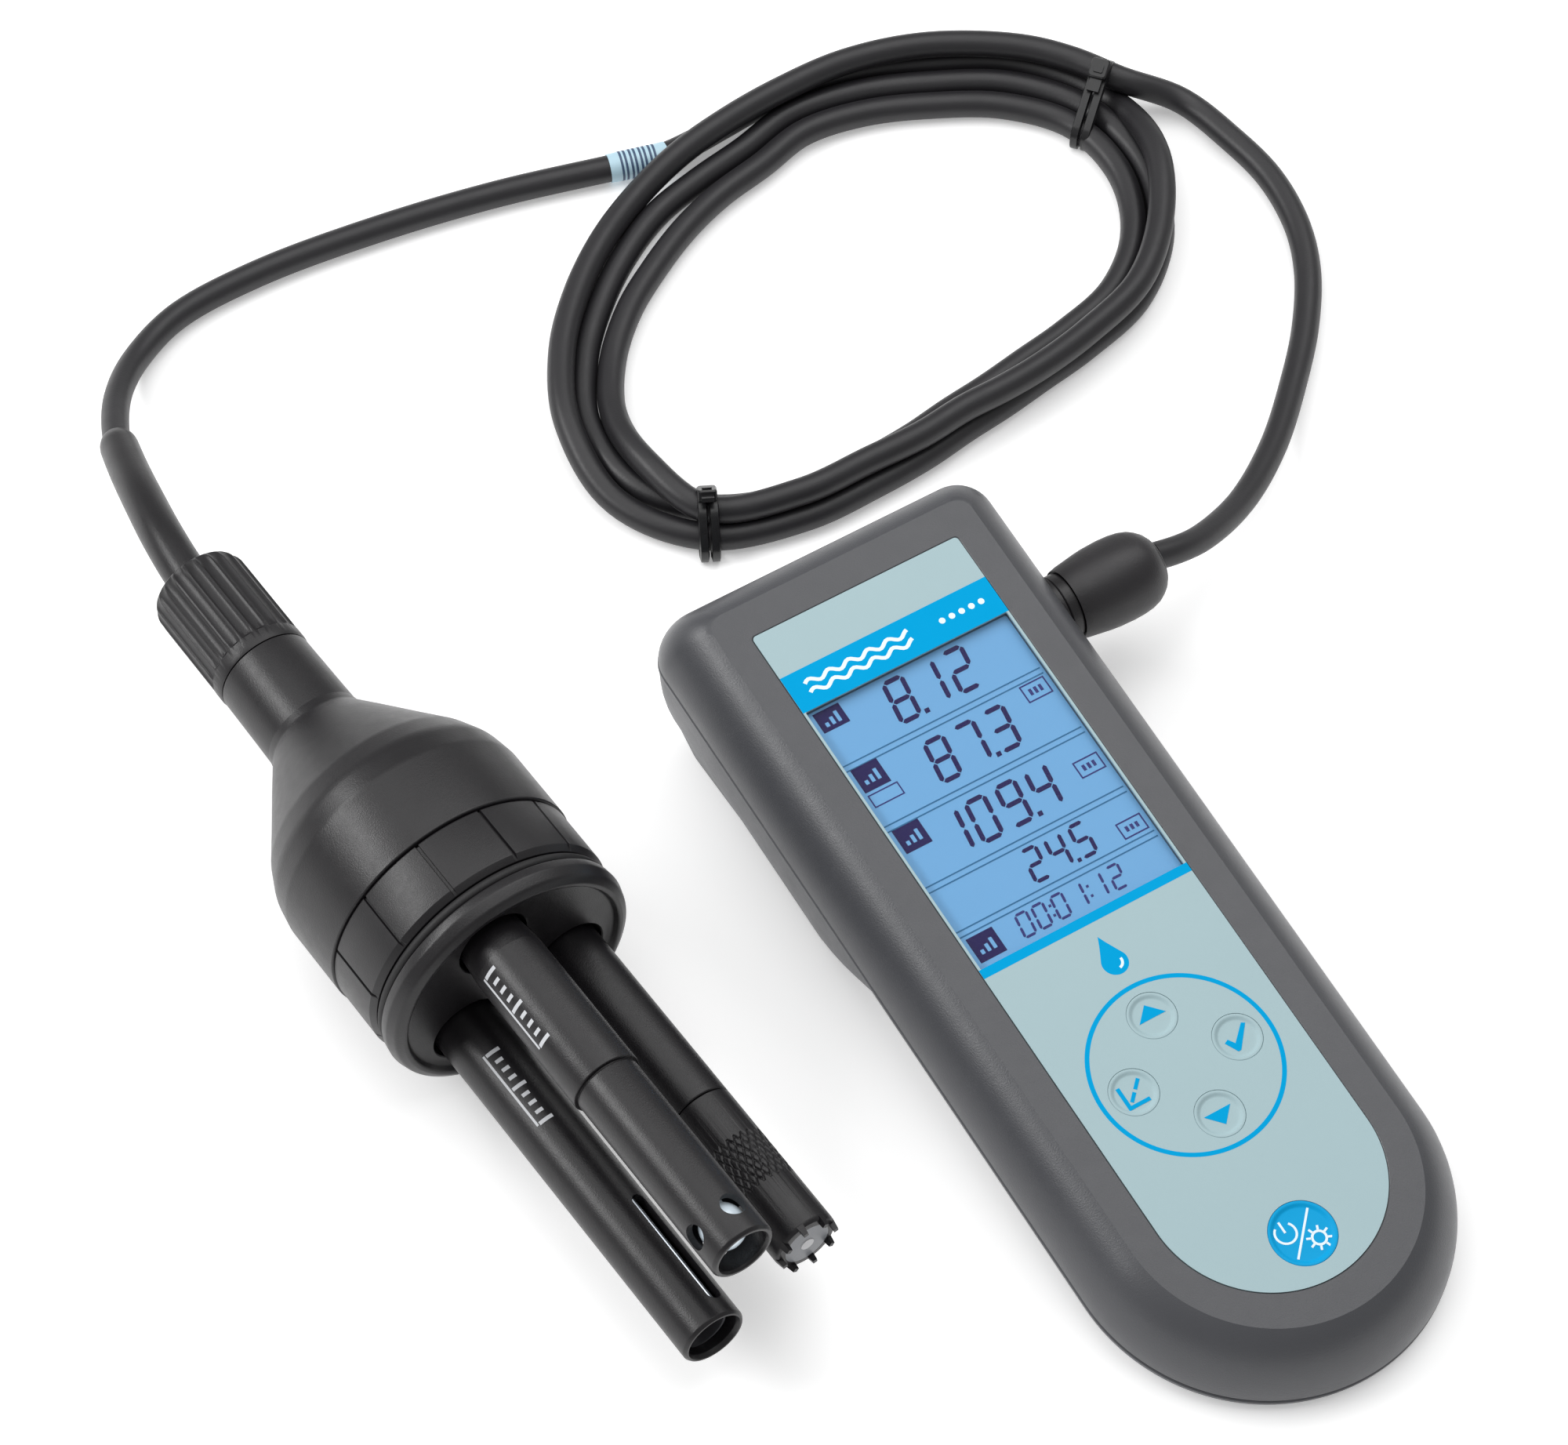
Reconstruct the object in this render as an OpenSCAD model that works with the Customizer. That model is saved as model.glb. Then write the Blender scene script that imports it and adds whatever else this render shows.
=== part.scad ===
// Handheld water quality meter with a three-sensor probe on a coiled cable.
// Millimetres, +Z up. The origin is on the floor, under the middle of the meter and the probe.
// The meter's long side runs along Y with the display end raised; the probe lies beside it at -X.

/* [Meter case] */
// Width of the meter across its sides
meter_w = 71; // [70:0.5:74]
// Distance from the middle of the key ring to the display end of the case
meter_top = 125; // [124:0.5:128]
// Radius of the two corners at the display end
corner_r = 12; // [9:0.5:14]
// Angle at which the face is tilted when the meter stands on its hump
rest_tilt = 7.5; // [7.3:0.1:7.7]
// Thickness of the case walls
wall = 2.2; // [2:0.1:2.4]

/* [Display and keys] */
// Half of the width of the printed front film
film_half = 22; // [21.9:0.1:23]
// Diameter of the four small keys
key_d = 9.2; // [8.6:0.1:9.4]
// Distance of each small key from the middle of the ring
key_ring_r = 10.9; // [10.5:0.1:11.5]
// Diameter of the on/off and light key
power_d = 12.4; // [11.6:0.1:12.6]
// Distance that a key moves when pressed
key_travel = 0.5; // [0.3:0.1:0.6]

/* [Cable] */
// Diameter of the cable
cable_d = 5.4; // [5:0.1:5.6]

/* [Probe] */
// Largest radius of the probe housing
body_r = 25.4; // [25:0.1:26]
// Diameter of the three sensor shafts
shaft_d = 12.4; // [12:0.1:12.8]
// Distance of each sensor from the middle of the probe
shaft_circle_r = 13; // [12.8:0.1:13.4]
// Distance from the front rim to the sensor tips
shaft_out = 77; // [70:1:85]
// Angle between the probe and the long side of the meter
probe_yaw = 3.6; // [2:0.1:5]

/* [Hidden] */
// frame
meter_x = 41.9;
meter_y = -63.7;
meter_z = 24.6;
probe_x = -50.5;
probe_y = 14.2;
probe_z = body_r;
$fn = 64;
eps = 0.02;

// case outline
half_w = meter_w / 2;
handle_c = 10 - half_w;
bezel_in = 7.7;
bezel_drop = 13.7;
bezel_start = 20;
bezel_steps = 8;
part_h = -14;
seal_t = 0.6;
seal_in = 0.5;
seal_w = 1.4;
handle_h = -17.4;
face_t = 2.6;
arc_steps = 24;
corner_steps = 6;

// hump, in the level frame of the floor
foot_half = 27;
foot_y0 = 64;
foot_y1 = 118.5;
foot_r = 6;
bay_z = 2.3;

// film and display
film_top = 110.4;
film_t = 0.5;
film_c = -24.5;
win_half = 20.9;
win_v0 = 33.2;
win_v1 = 92.4;
glass_half = 21.5;
glass_v0 = 32.5;
glass_v1 = 93.1;
win_t = 1;
glass_t = 2;
glass_h = -3.6;
frame_half = 24;
frame_v0 = 30.5;
frame_v1 = 95.5;
board_h = -9.6;
board_t = 1.6;
board_half = 23.5;
board_v0 = -48;
board_v1 = 103.5;
board_neck_v = -31;
board_neck_half = 13;
dome_t = 0.7;
dome_r = 3.6;
power_v = -37;
key_gap = 0.2;
key_out = 0.35;
key_flange = 0.9;
key_flange_t = 0.9;
key_under = 0.1;
key_spots = [[0, 1], [1, 0], [-1, 0], [0, -1]];

// screws
case_spots = [[28.5, 111], [-28.5, 111], [20, -43], [-20, -43]];
board_spots = [[20.5, 99.5], [-20.5, 99.5], [21, 20], [-21, 20]];
case_post_r = 3.2;
case_pilot_r = 1.1;
case_head_r = 2.6;
hump_seat_h = -24;
grip_seat_h = -15.9;
board_post_r = 2.2;
board_pilot_r = 0.8;

// socket and plug, along X at the right side
socket_v = 95.2;
socket_h = -16;
socket_r = 6.8;
socket_bore_r = 5.6;
socket_u0 = 24.5;
socket_floor = 27.5;
nose_r = 5.55;
pin_r = 0.5;
pin_hole_r = 0.6;
pin_circle_r = 3;
pin_n = 6;
plug_u0 = 36.1;
plug_u1 = 58;
plug_base_t = 2.28;
plug_base_r = 6.5;
plug_profile = [[6.9, 2.3], [7.6, 6], [8.1, 10], [8.2, 13.5], [7.9, 17], [7, 19.5], [5.6, 21.3],
    [4.4, 21.9]];

// battery bay, in the level frame of the floor
cell_r = 5.2;
cell_l = 44.5;
cell_pitch = 11;
cell_n = 3;
cell_tip_r = 1.9;
cell_tip_l = 0.8;
contact_w = 8;
contact_t = 0.45;
spring_r = 3.4;
spring_l = 0.72;
cell_y0 = 70.4;
cell_z = 8;
tray_half = 19;
tray_y0 = 68.4;
tray_y1 = 115.6;
tray_z1 = 14.4;
tray_wall = 1.2;
door_half = 17.8;
door_z0 = 0.25;
door_t = 1.75;
door_gap = 0.25;
door_lip = 1.4;
door_lip_t = 0.8;
door_lip_z = 1.15;
grip_n = 5;
grip_half = 8;
grip_y0 = 75;
grip_pitch = 2.4;

// cable route, points on the centre line chosen by hand
cable_r = cable_d / 2;
floor_z = cable_r + 0.15;
sides = 10;
route_a = [[99.9, 33.3, 21.7], [105.5, 33.4, 20], [112.5, 35.1, 17], [126.5, 41.9, 11], [141.5, 52.6, 6.5],
    [155.1, 65.2, 3.8], [165.2, 75.8, floor_z], [173.5, 87.1, floor_z], [178.5, 98.1, floor_z],
    [180.9, 111.1, floor_z], [180, 123.6, floor_z], [176.5, 138.1, floor_z],
    [168.5, 149.6, 4.2], [162.3, 156.3, 6]];
route_b = [[76.5, 180.1, 3], [69.5, 182.1, floor_z], [47.5, 188.1, floor_z], [22.9, 192.6, floor_z],
    [-2.8, 195.1, floor_z], [-21.3, 193.9, floor_z], [-33.2, 188.1, 4], [-42.3, 178.5, 8],
    [-49.5, 164.1, 14]];
route_relief = [[-49.5, 164.1, 14], [-51.9, 154.1, 18], [-54.3, 143.1, 22], [-56.4, 131.5, 24.8],
    [-57.3, 121.8, 25.4]];
coil_mid = [[159.5, 127.1, 6], [159.5, 144.1, 7], [150.5, 159.1, 9], [136.5, 169.1, 9.5], [121.5, 174.6, 9],
    [107.5, 176.1, 8.5], [94.5, 173.6, 8.5], [82.5, 171.1, 9], [71.5, 166.6, 9], [61, 160.6, 9],
    [51, 152.1, 8.5], [41.5, 141.6, 7.5], [34, 127.1, 6.5], [33, 110.6, 7], [41, 96.1, 7],
    [58, 90.3, 6.5], [73, 89.6, 5.6], [85, 90.1, 5.4], [94.5, 91.5, 5.4], [104, 92.6, 5.4],
    [113.5, 94.3, 5.4], [125, 96.8, 5.6], [139.5, 101.3, 5.2], [152, 111.6, 5.6]];
coil_z = 5.6;
coil_half_h = 5.4;
tie_a_at = [40, 94.7];
tie_a_turn = -27;
tie_b_at = [159, 143.1];
tie_b_turn = -51;
label_from = [80.5, 179.1];
label_to = [70.1, 182];

// probe stations along the axis, forward is positive
rim_s = 4.5;
face_s = 3;
flange_s = -3;
ring_s0 = -22.4;
ring_s1 = -6.3;
shoulder_s = -34;
cone_s = -64;
neck_s = -83.6;
nut_s0 = -108;
nut_s1 = -83.8;
neck_r = 8.9;
nut_r = 9.5;
ring_clear = 0.08;
ring_wall = 3;
spigot_r = body_r - ring_wall;
ring_r = body_r;
ring_cut_n = 12;
house_wall = 2.6;
nut_flutes = 18;
shaft_r = shaft_d / 2;
bore_r = shaft_r + 0.08;
shaft_back_s = -19;
ph_turn = 103;
ec_turn = 223;
do_turn = 343;
turns = [ph_turn, ec_turn, do_turn];
board_s = -26;
tail_r = 2.6;
seal_s0 = -103;
seal_s1 = -94.5;
seal_r0 = 4.3;
seal_r1 = 6.3;
tip_s = shaft_out;
ph_step_s = 33.5;
ph_big_r = shaft_r + 0.06;
ph_bore_r = 4.8;
ph_bore_s = 58;
bulb_r = 3.6;
bulb_s = 67;
window_r = 2.3;
window_s = 69;
ec_bore_r = 5;
ec_bore_s = 40;
slot_s0 = 47;
slot_s1 = 71;
slot_w = 3.2;
rod_r = 1.2;
rod_out = 3.1;
slot_turn = 35;
do_cap_s = 40.5;
do_knurl_s0 = 51.5;
do_knurl_s1 = 61.5;
do_face_s = 74.6;
do_shaft_end_s = 66;
tooth_n = 8;
tooth_w = 1.3;
tooth_h = 1.8;

// ---- frames ----
module in_meter() {
    translate([meter_x, meter_y, meter_z]) rotate([rest_tilt, 0, 0]) children();
}

// the level frame under the meter: same x and y origin, z from the floor
module in_level() {
    translate([meter_x, meter_y, 0]) children();
}

// the level frame seen from inside the meter's own frame
module level_in_meter() {
    rotate([-rest_tilt, 0, 0]) translate([0, 0, -meter_z]) children();
}

module in_probe() {
    translate([probe_x, probe_y, probe_z]) rotate([0, 0, probe_yaw]) rotate([90, 0, 0]) children();
}

module at_sensor(turn) {
    rotate([0, 0, turn]) translate([shaft_circle_r, 0, 0]) rotate([0, 0, -turn]) children();
}

module in_socket() {
    translate([0, socket_v, socket_h]) rotate([0, 90, 0]) children();
}

// ---- outlines ----
function arc(cx, cy, r, a0, a1, n) = [for (i = [0 : n]) let (a = a0 + (a1 - a0) * i / n)
    [cx + r * cos(a), cy + r * sin(a)]];

function outline(inset) = concat(
    arc(0, handle_c, half_w - inset, 180, 360, arc_steps),
    arc(half_w - corner_r, meter_top - corner_r, max(corner_r - inset, 1), 0, 90, corner_steps),
    arc(corner_r - half_w, meter_top - corner_r, max(corner_r - inset, 1), 90, 180, corner_steps));

function round_rect(x0, y0, x1, y1, r) = concat(
    arc(x1 - r, y1 - r, r, 0, 90, corner_steps),
    arc(x0 + r, y1 - r, r, 90, 180, corner_steps),
    arc(x0 + r, y0 + r, r, 180, 270, corner_steps),
    arc(x1 - r, y0 + r, r, 270, 360, corner_steps));

module slab(inset, h) {
    translate([0, 0, h]) linear_extrude(eps) polygon(outline(inset));
}

function bezel_inset(t) = bezel_in * (1 - sin(t)) / (1 - sin(bezel_start));
function bezel_level(t) = -bezel_drop * (cos(bezel_start) - cos(t)) / cos(bezel_start);

// upper case form, grown inwards by deeper
module top_form(deeper) {
    hull() {
        for (i = [0 : bezel_steps]) {
            t = bezel_start + (90 - bezel_start) * i / bezel_steps;
            slab(bezel_inset(t) + deeper, bezel_level(t) - eps);
        }
    }
}

// lower case form of the handle
module handle_form(deeper, lift) {
    hull() {
        slab(deeper, part_h - seal_t / 2 - eps + (deeper > 0 ? 1 : 0));
        slab(0.4 + deeper, -15.6 + lift);
        slab(1.7 + deeper, -16.7 + lift);
        slab(5 + deeper, handle_h + lift);
    }
}

// lower case form of the hump, down to the floor
module hump_form(deeper, lift) {
    top = part_h - seal_t / 2 - eps + (deeper > 0 ? 1 : 0);
    hull() {
        translate([0, 0, top]) linear_extrude(eps)
            polygon(round_rect(deeper - half_w, 38 + deeper, half_w - deeper, meter_top - deeper,
                corner_r - deeper));
        translate([0, 0, -22]) linear_extrude(eps)
            polygon(round_rect(deeper + 1 - half_w, 47 + deeper, half_w - 1 - deeper,
                meter_top - 1 - deeper, corner_r - deeper));
        translate([0, 0, -31 + lift / 2]) linear_extrude(eps)
            polygon(round_rect(deeper + 3.6 - half_w, 56 + deeper, half_w - 3.6 - deeper,
                meter_top - 4 - deeper, corner_r - deeper));
        level_in_meter() translate([0, 0, lift]) linear_extrude(eps)
            polygon(round_rect(deeper - foot_half, foot_y0 + deeper, foot_half - deeper, foot_y1 - deeper,
                foot_r));
    }
}

function film_outline(half, top, r) = concat(
    arc(0, film_c, half, 180, 360, arc_steps),
    arc(half - r, top - r, r, 0, 90, corner_steps),
    arc(r - half, top - r, r, 90, 180, corner_steps));

// ---- meter ----
module key_holes(grow, h0, h1) {
    for (p = key_spots)
        translate([p[0] * key_ring_r, p[1] * key_ring_r, h0]) cylinder(h = h1 - h0, r = key_d / 2 + grow);
    translate([0, power_v, h0]) cylinder(h = h1 - h0, r = power_d / 2 + grow);
}

module top_shell() {
    color([0.36, 0.36, 0.37]) in_meter() difference() {
        union() {
            difference() {
                top_form(0);
                intersection() {
                    translate([0, 0, -wall * 0.4]) top_form(wall);
                    translate([-half_w, -half_w - 30, -40]) cube([meter_w, 220, 40 - face_t]);
                }
                translate([0, 0, -bezel_drop - 1]) linear_extrude(3) polygon(outline(wall));
            }
            for (p = case_spots)
                translate([p[0], p[1], -bezel_drop]) cylinder(h = bezel_drop - face_t + 0.5, r = case_post_r);
            for (p = board_spots)
                translate([p[0], p[1], board_h + board_t + 0.02])
                    cylinder(h = -face_t + 0.5 - board_h - board_t, r = board_post_r);
        }
        translate([0, 0, -film_t]) linear_extrude(2) polygon(film_outline(film_half, film_top, 0.8));
        translate([-glass_half - 0.3, glass_v0 - 0.3, -9])
            cube([2 * glass_half + 0.6, glass_v1 - glass_v0 + 0.6, 10]);
        key_holes(key_gap, -10, 5);
        for (p = case_spots)
            translate([p[0], p[1], -bezel_drop - 1]) cylinder(h = 9, r = case_pilot_r);
        for (p = board_spots)
            translate([p[0], p[1], -12]) cylinder(h = 8.4, r = board_pilot_r);
        in_socket() translate([0, 0, socket_u0]) cylinder(h = 20, r = socket_r + 0.1);
    }
}

module bottom_shell() {
    color([0.33, 0.33, 0.35]) in_meter() difference() {
        union() {
            difference() {
                union() {
                    handle_form(0, 0);
                    hump_form(0, 0);
                }
                handle_form(wall, 1.6);
                hump_form(wall, bay_z);
            }
            for (p = [case_spots[0], case_spots[1]])
                translate([p[0], p[1], -30]) cylinder(h = 30 + part_h - seal_t / 2, r = case_post_r);
            for (p = [case_spots[2], case_spots[3]])
                translate([p[0], p[1], -16.6]) cylinder(h = 16.6 + part_h - seal_t / 2, r = case_post_r);
        }
        for (p = case_spots)
            translate([p[0], p[1], -32]) cylinder(h = 30, r = case_pilot_r + 0.2);
        for (p = [case_spots[0], case_spots[1]])
            translate([p[0], p[1], -50]) cylinder(h = 50 + hump_seat_h, r = case_head_r + 0.3);
        for (p = [case_spots[2], case_spots[3]])
            translate([p[0], p[1], -30]) cylinder(h = 30 + grip_seat_h, r = case_head_r + 0.3);
        in_socket() translate([0, 0, socket_u0]) cylinder(h = 20, r = socket_r + 0.1);
        level_in_meter() {
            translate([-door_half - door_gap, foot_y0 + 4, -1])
                cube([2 * (door_half + door_gap), 80, 1 + bay_z + 0.2]);
            translate([-door_half - door_gap - door_lip, foot_y0 + 4, 1])
                cube([2 * (door_half + door_gap + door_lip), 80, 1.05]);
        }
    }
}

module case_seal() {
    color([0.04, 0.04, 0.04]) in_meter() difference() {
        translate([0, 0, part_h - seal_t / 2 + eps]) linear_extrude(seal_t - 2 * eps) difference() {
            polygon(outline(seal_in));
            polygon(outline(seal_in + seal_w));
        }
        in_socket() translate([0, 0, socket_u0]) cylinder(h = 20, r = socket_r + 0.1);
    }
}

module overlay() {
    color([0.66, 0.75, 0.77]) in_meter() difference() {
        translate([0, 0, 0.03 - film_t]) linear_extrude(film_t - 0.03)
            polygon(film_outline(film_half - 0.05, film_top - 0.05, 0.8));
        translate([-win_half, win_v0, -3]) cube([2 * win_half, win_v1 - win_v0, 6]);
        key_holes(key_gap, -3, 5);
    }
}

module window() {
    color([0.8, 0.9, 1, 0.35]) in_meter()
        translate([-glass_half, glass_v0, -film_t - win_t - 0.02])
            cube([2 * glass_half, glass_v1 - glass_v0, win_t]);
}

module lcd_glass() {
    color([0.47, 0.67, 0.8]) in_meter()
        translate([-glass_half, glass_v0, glass_h]) cube([2 * glass_half, glass_v1 - glass_v0, glass_t]);
}

module lcd_frame() {
    color([0.9, 0.9, 0.88]) in_meter() difference() {
        translate([-frame_half, frame_v0, board_h + board_t + 0.02])
            cube([2 * frame_half, frame_v1 - frame_v0, glass_h - board_h - board_t - 0.04]);
        translate([-glass_half, glass_v0, -20]) cube([2 * glass_half, glass_v1 - glass_v0, 40]);
    }
}

module backlight() {
    color([0.95, 0.97, 1]) in_meter()
        translate([0.05 - glass_half, glass_v0 + 0.05, board_h + board_t + 0.02])
            cube([2 * glass_half - 0.1, glass_v1 - glass_v0 - 0.1, glass_h - board_h - board_t - 0.06]);
}

module main_board() {
    color([0.1, 0.35, 0.18]) in_meter() difference() {
        translate([0, 0, board_h]) linear_extrude(board_t)
            polygon([[-board_half, board_neck_v], [-board_neck_half, board_neck_v],
                [-board_neck_half, board_v0], [board_neck_half, board_v0], [board_neck_half, board_neck_v],
                [board_half, board_neck_v], [board_half, board_v1], [-board_half, board_v1]]);
        for (p = board_spots)
            translate([p[0], p[1], -20]) cylinder(h = 40, r = board_pilot_r + 0.3);
    }
}

module board_screws() {
    color([0.7, 0.7, 0.72]) in_meter() for (p = board_spots) translate([p[0], p[1], 0]) difference() {
        union() {
            translate([0, 0, board_h - 1.2]) cylinder(h = 1.18, r = 1.7);
            translate([0, 0, board_h - 0.3]) cylinder(h = 5, r = board_pilot_r);
        }
        translate([-1.2, -0.2, board_h - 2]) cube([2.4, 0.4, 1.3]);
    }
}

module dome(r) {
    translate([0, 0, board_h + board_t + 0.02]) cylinder(h = dome_t, r1 = r, r2 = r * 0.7);
}

module key_domes() {
    color([0.75, 0.75, 0.77]) in_meter() {
        for (p = key_spots)
            translate([p[0] * key_ring_r, p[1] * key_ring_r, 0]) dome(dome_r);
        translate([0, power_v, 0]) dome(dome_r + 1);
    }
}

// a key: cap through the film, flange under the face, stem above its snap dome
module key_form(x, y, r) {
    stem_end = board_h + board_t + dome_t + key_travel + 0.1;
    translate([x, y, 0]) {
        translate([0, 0, -face_t - key_under]) cylinder(h = face_t + key_under + key_out, r = r);
        translate([0, 0, -face_t - key_under - key_flange_t]) cylinder(h = key_flange_t, r = r + key_flange);
        translate([0, 0, stem_end]) cylinder(h = -face_t - key_under - stem_end, r = 1.5);
    }
}

module key_up() {
    color([0.7, 0.79, 0.81]) in_meter() key_form(0, key_ring_r, key_d / 2);
}

module key_check() {
    color([0.7, 0.79, 0.81]) in_meter() key_form(key_ring_r, 0, key_d / 2);
}

module key_return() {
    color([0.7, 0.79, 0.81]) in_meter() key_form(-key_ring_r, 0, key_d / 2);
}

module key_down() {
    color([0.7, 0.79, 0.81]) in_meter() key_form(0, -key_ring_r, key_d / 2);
}

module key_power() {
    color([0, 0.62, 0.88]) in_meter() key_form(0, power_v, power_d / 2);
}

module socket() {
    color([0.08, 0.08, 0.09]) in_meter() in_socket() difference() {
        translate([0, 0, socket_u0]) cylinder(h = 35.9 - socket_u0, r = socket_r);
        translate([0, 0, socket_floor]) cylinder(h = 20, r = socket_bore_r);
        for (i = [0 : pin_n - 1]) rotate([0, 0, i * 360 / pin_n]) translate([pin_circle_r, 0, 0])
            cylinder(h = 60, r = pin_r + 0.02);
    }
}

module socket_pins() {
    color([0.85, 0.7, 0.3]) in_meter() in_socket()
        for (i = [0 : pin_n - 1]) rotate([0, 0, i * 360 / pin_n])
            translate([pin_circle_r, 0, socket_u0 - 1.5])
            cylinder(h = socket_floor - socket_u0 + 7, r = pin_r);
}

module battery_tray() {
    color([0.1, 0.1, 0.11]) in_level() difference() {
        translate([-tray_half, tray_y0, bay_z + 0.3])
            cube([2 * tray_half, tray_y1 - tray_y0, tray_z1 - bay_z]);
        translate([tray_wall - tray_half, tray_y0 + tray_wall, bay_z])
            cube([2 * (tray_half - tray_wall), tray_y1 - tray_y0 - 2 * tray_wall, tray_z1 - bay_z - 0.9]);
    }
}

module cell_at(i) {
    translate([(i - (cell_n - 1) / 2) * cell_pitch, 0, cell_z]) rotate([-90, 0, 0]) children();
}

module battery_cells() {
    color([0.8, 0.55, 0.2]) in_level() for (i = [0 : cell_n - 1]) cell_at(i) {
        translate([0, 0, cell_y0]) cylinder(h = cell_l - 2, r = cell_r - 0.1);
        translate([0, 0, cell_y0 + cell_l - 2]) cylinder(h = cell_tip_l, r = cell_tip_r);
    }
}

module battery_contacts() {
    color([0.8, 0.8, 0.82]) in_level() for (i = [0 : cell_n - 1]) cell_at(i) {
        translate([-contact_w / 2, -contact_w / 2, tray_y1 - tray_wall - contact_t - 0.1])
            cube([contact_w, contact_w, contact_t]);
        translate([0, 0, tray_y0 + tray_wall + 0.05]) cylinder(h = spring_l, r = spring_r);
    }
}

module battery_door() {
    color([0.33, 0.33, 0.35]) in_level() difference() {
        union() {
            translate([-door_half, foot_y0 + 4 + door_gap, door_z0])
                cube([2 * door_half, foot_y1 - foot_y0 - 5, door_t]);
            translate([-door_half - door_lip, foot_y0 + 4 + door_gap, door_lip_z])
                cube([2 * (door_half + door_lip), foot_y1 - foot_y0 - 9.5, door_lip_t]);
        }
        for (i = [0 : grip_n - 1])
            translate([-grip_half, grip_y0 + grip_pitch * i, -1]) cube([2 * grip_half, 1, 1.7]);
    }
}

module case_screws() {
    color([0.62, 0.62, 0.65]) in_meter() {
        for (p = [case_spots[0], case_spots[1]]) translate([p[0], p[1], 0]) case_screw(hump_seat_h);
        for (p = [case_spots[2], case_spots[3]]) translate([p[0], p[1], 0]) case_screw(grip_seat_h);
    }
}

module case_screw(seat) {
    difference() {
        union() {
            translate([0, 0, seat - 1.3]) cylinder(h = 1.28, r = case_head_r);
            translate([0, 0, seat - 0.3]) cylinder(h = -6.5 - seat, r = case_pilot_r - 0.05);
        }
        translate([-1.8, -0.3, seat - 2]) cube([3.6, 0.6, 1.3]);
        translate([-0.3, -1.8, seat - 2]) cube([0.6, 3.6, 1.3]);
    }
}

// ---- plug ----
module plug_body() {
    color([0.13, 0.13, 0.14]) in_meter() in_socket() difference() {
        rotate_extrude() polygon(concat([[0, plug_u0 + plug_profile[0][1]]],
            [for (p = plug_profile) [p[0], plug_u0 + p[1]]], [[0, plug_u1]]));
        translate([0, 0, plug_u1 - 3]) cylinder(h = 9, r = cable_r + 0.1);
    }
}

module plug_collar() {
    color([0.05, 0.05, 0.05]) in_meter() in_socket() difference() {
        translate([0, 0, plug_u0]) cylinder(h = plug_base_t, r = plug_base_r);
        translate([0, 0, plug_u0 - 1]) cylinder(h = 9, r = nose_r + 0.02);
    }
}

module plug_nose() {
    color([0.2, 0.2, 0.21]) in_meter() in_socket() difference() {
        translate([0, 0, socket_floor + 0.5])
            cylinder(h = plug_u0 + plug_base_t - socket_floor - 0.5, r = nose_r);
        for (i = [0 : pin_n - 1]) rotate([0, 0, i * 360 / pin_n]) translate([pin_circle_r, 0, 0])
            cylinder(h = socket_floor + 6.5, r = pin_hole_r);
    }
}

// ---- cable ----
function catmull(p0, p1, p2, p3, t) = 0.5 * (2 * p1 + (p2 - p0) * t + (2 * p0 - 5 * p1 + 4 * p2 - p3) * t * t
    + (3 * p1 - p0 - 3 * p2 + p3) * t * t * t);
function pick(p, i) = p[min(max(i, 0), len(p) - 1)];
function smooth(p, n) = [for (i = [0 : len(p) - 2]) for (k = [0 : n - 1])
    catmull(pick(p, i - 1), p[i], p[i + 1], pick(p, i + 2), k / n)];
function with_end(p, n) = concat(smooth(p, n), [p[len(p) - 1]]);
function unit(v) = v / norm(v);
function heading(p, i) = unit(pick(p, i + 1) - pick(p, i - 1));
function flat_side(t) = unit([-t[1], t[0], 0]);
function ring_at(c, t, ru, rv) = let (u = flat_side(t), v = cross(t, u))
    [for (k = [0 : sides - 1]) let (a = 360 * (k + 0.5) / sides) c + ru * cos(a) * u + rv * sin(a) * v];
function ring_faces(n) = [for (i = [0 : n - 2]) for (k = [0 : sides - 1])
    [i * sides + k, i * sides + (k + 1) % sides, (i + 1) * sides + (k + 1) % sides, (i + 1) * sides + k]];

module swept(p, r0, r1) {
    n = len(p);
    points = [for (i = [0 : n - 1]) each ring_at(p[i], heading(p, i), r0 + (r1 - r0) * i / (n - 1),
        r0 + (r1 - r0) * i / (n - 1))];
    ends = [[for (k = [0 : sides - 1]) sides - 1 - k], [for (k = [0 : sides - 1]) (n - 1) * sides + k]];
    polyhedron(points = points, faces = concat(ring_faces(n), ends), convexity = 8);
}

module cable_a() {
    color([0.13, 0.13, 0.14]) swept(with_end(route_a, 2), cable_r, cable_r);
}

module cable_b() {
    color([0.13, 0.13, 0.14]) swept(with_end(route_b, 2), cable_r, cable_r);
}

module strain_relief() {
    color([0.08, 0.08, 0.09]) swept(with_end(route_relief, 2), 3.8, 4.2);
}

module coil() {
    n = len(coil_mid);
    points = [for (i = [0 : n - 1]) let (c = coil_mid[i], a = coil_mid[(i + n - 1) % n],
        b = coil_mid[(i + 1) % n], t = unit([b[0] - a[0], b[1] - a[1], 0]))
            each ring_at([c[0], c[1], coil_z], t, c[2], coil_half_h)];
    faces = [for (i = [0 : n - 1]) for (k = [0 : sides - 1])
        [i * sides + k, i * sides + (k + 1) % sides, ((i + 1) % n) * sides + (k + 1) % sides,
            ((i + 1) % n) * sides + k]];
    color([0.13, 0.13, 0.14]) polyhedron(points = points, faces = faces, convexity = 8);
}

// a tie: a flat band around the bundle
module tie(at, turn, half) {
    translate([at[0], at[1], coil_z]) rotate([0, 0, turn]) difference() {
        translate([-1.6, -half - 0.9, -coil_half_h - 0.1]) cube([3.2, 2 * half + 1.8, 2 * coil_half_h + 1.1]);
        translate([-3, -half, -coil_half_h + 0.6]) cube([6, 2 * half, 2 * coil_half_h - 0.6]);
    }
}

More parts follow.
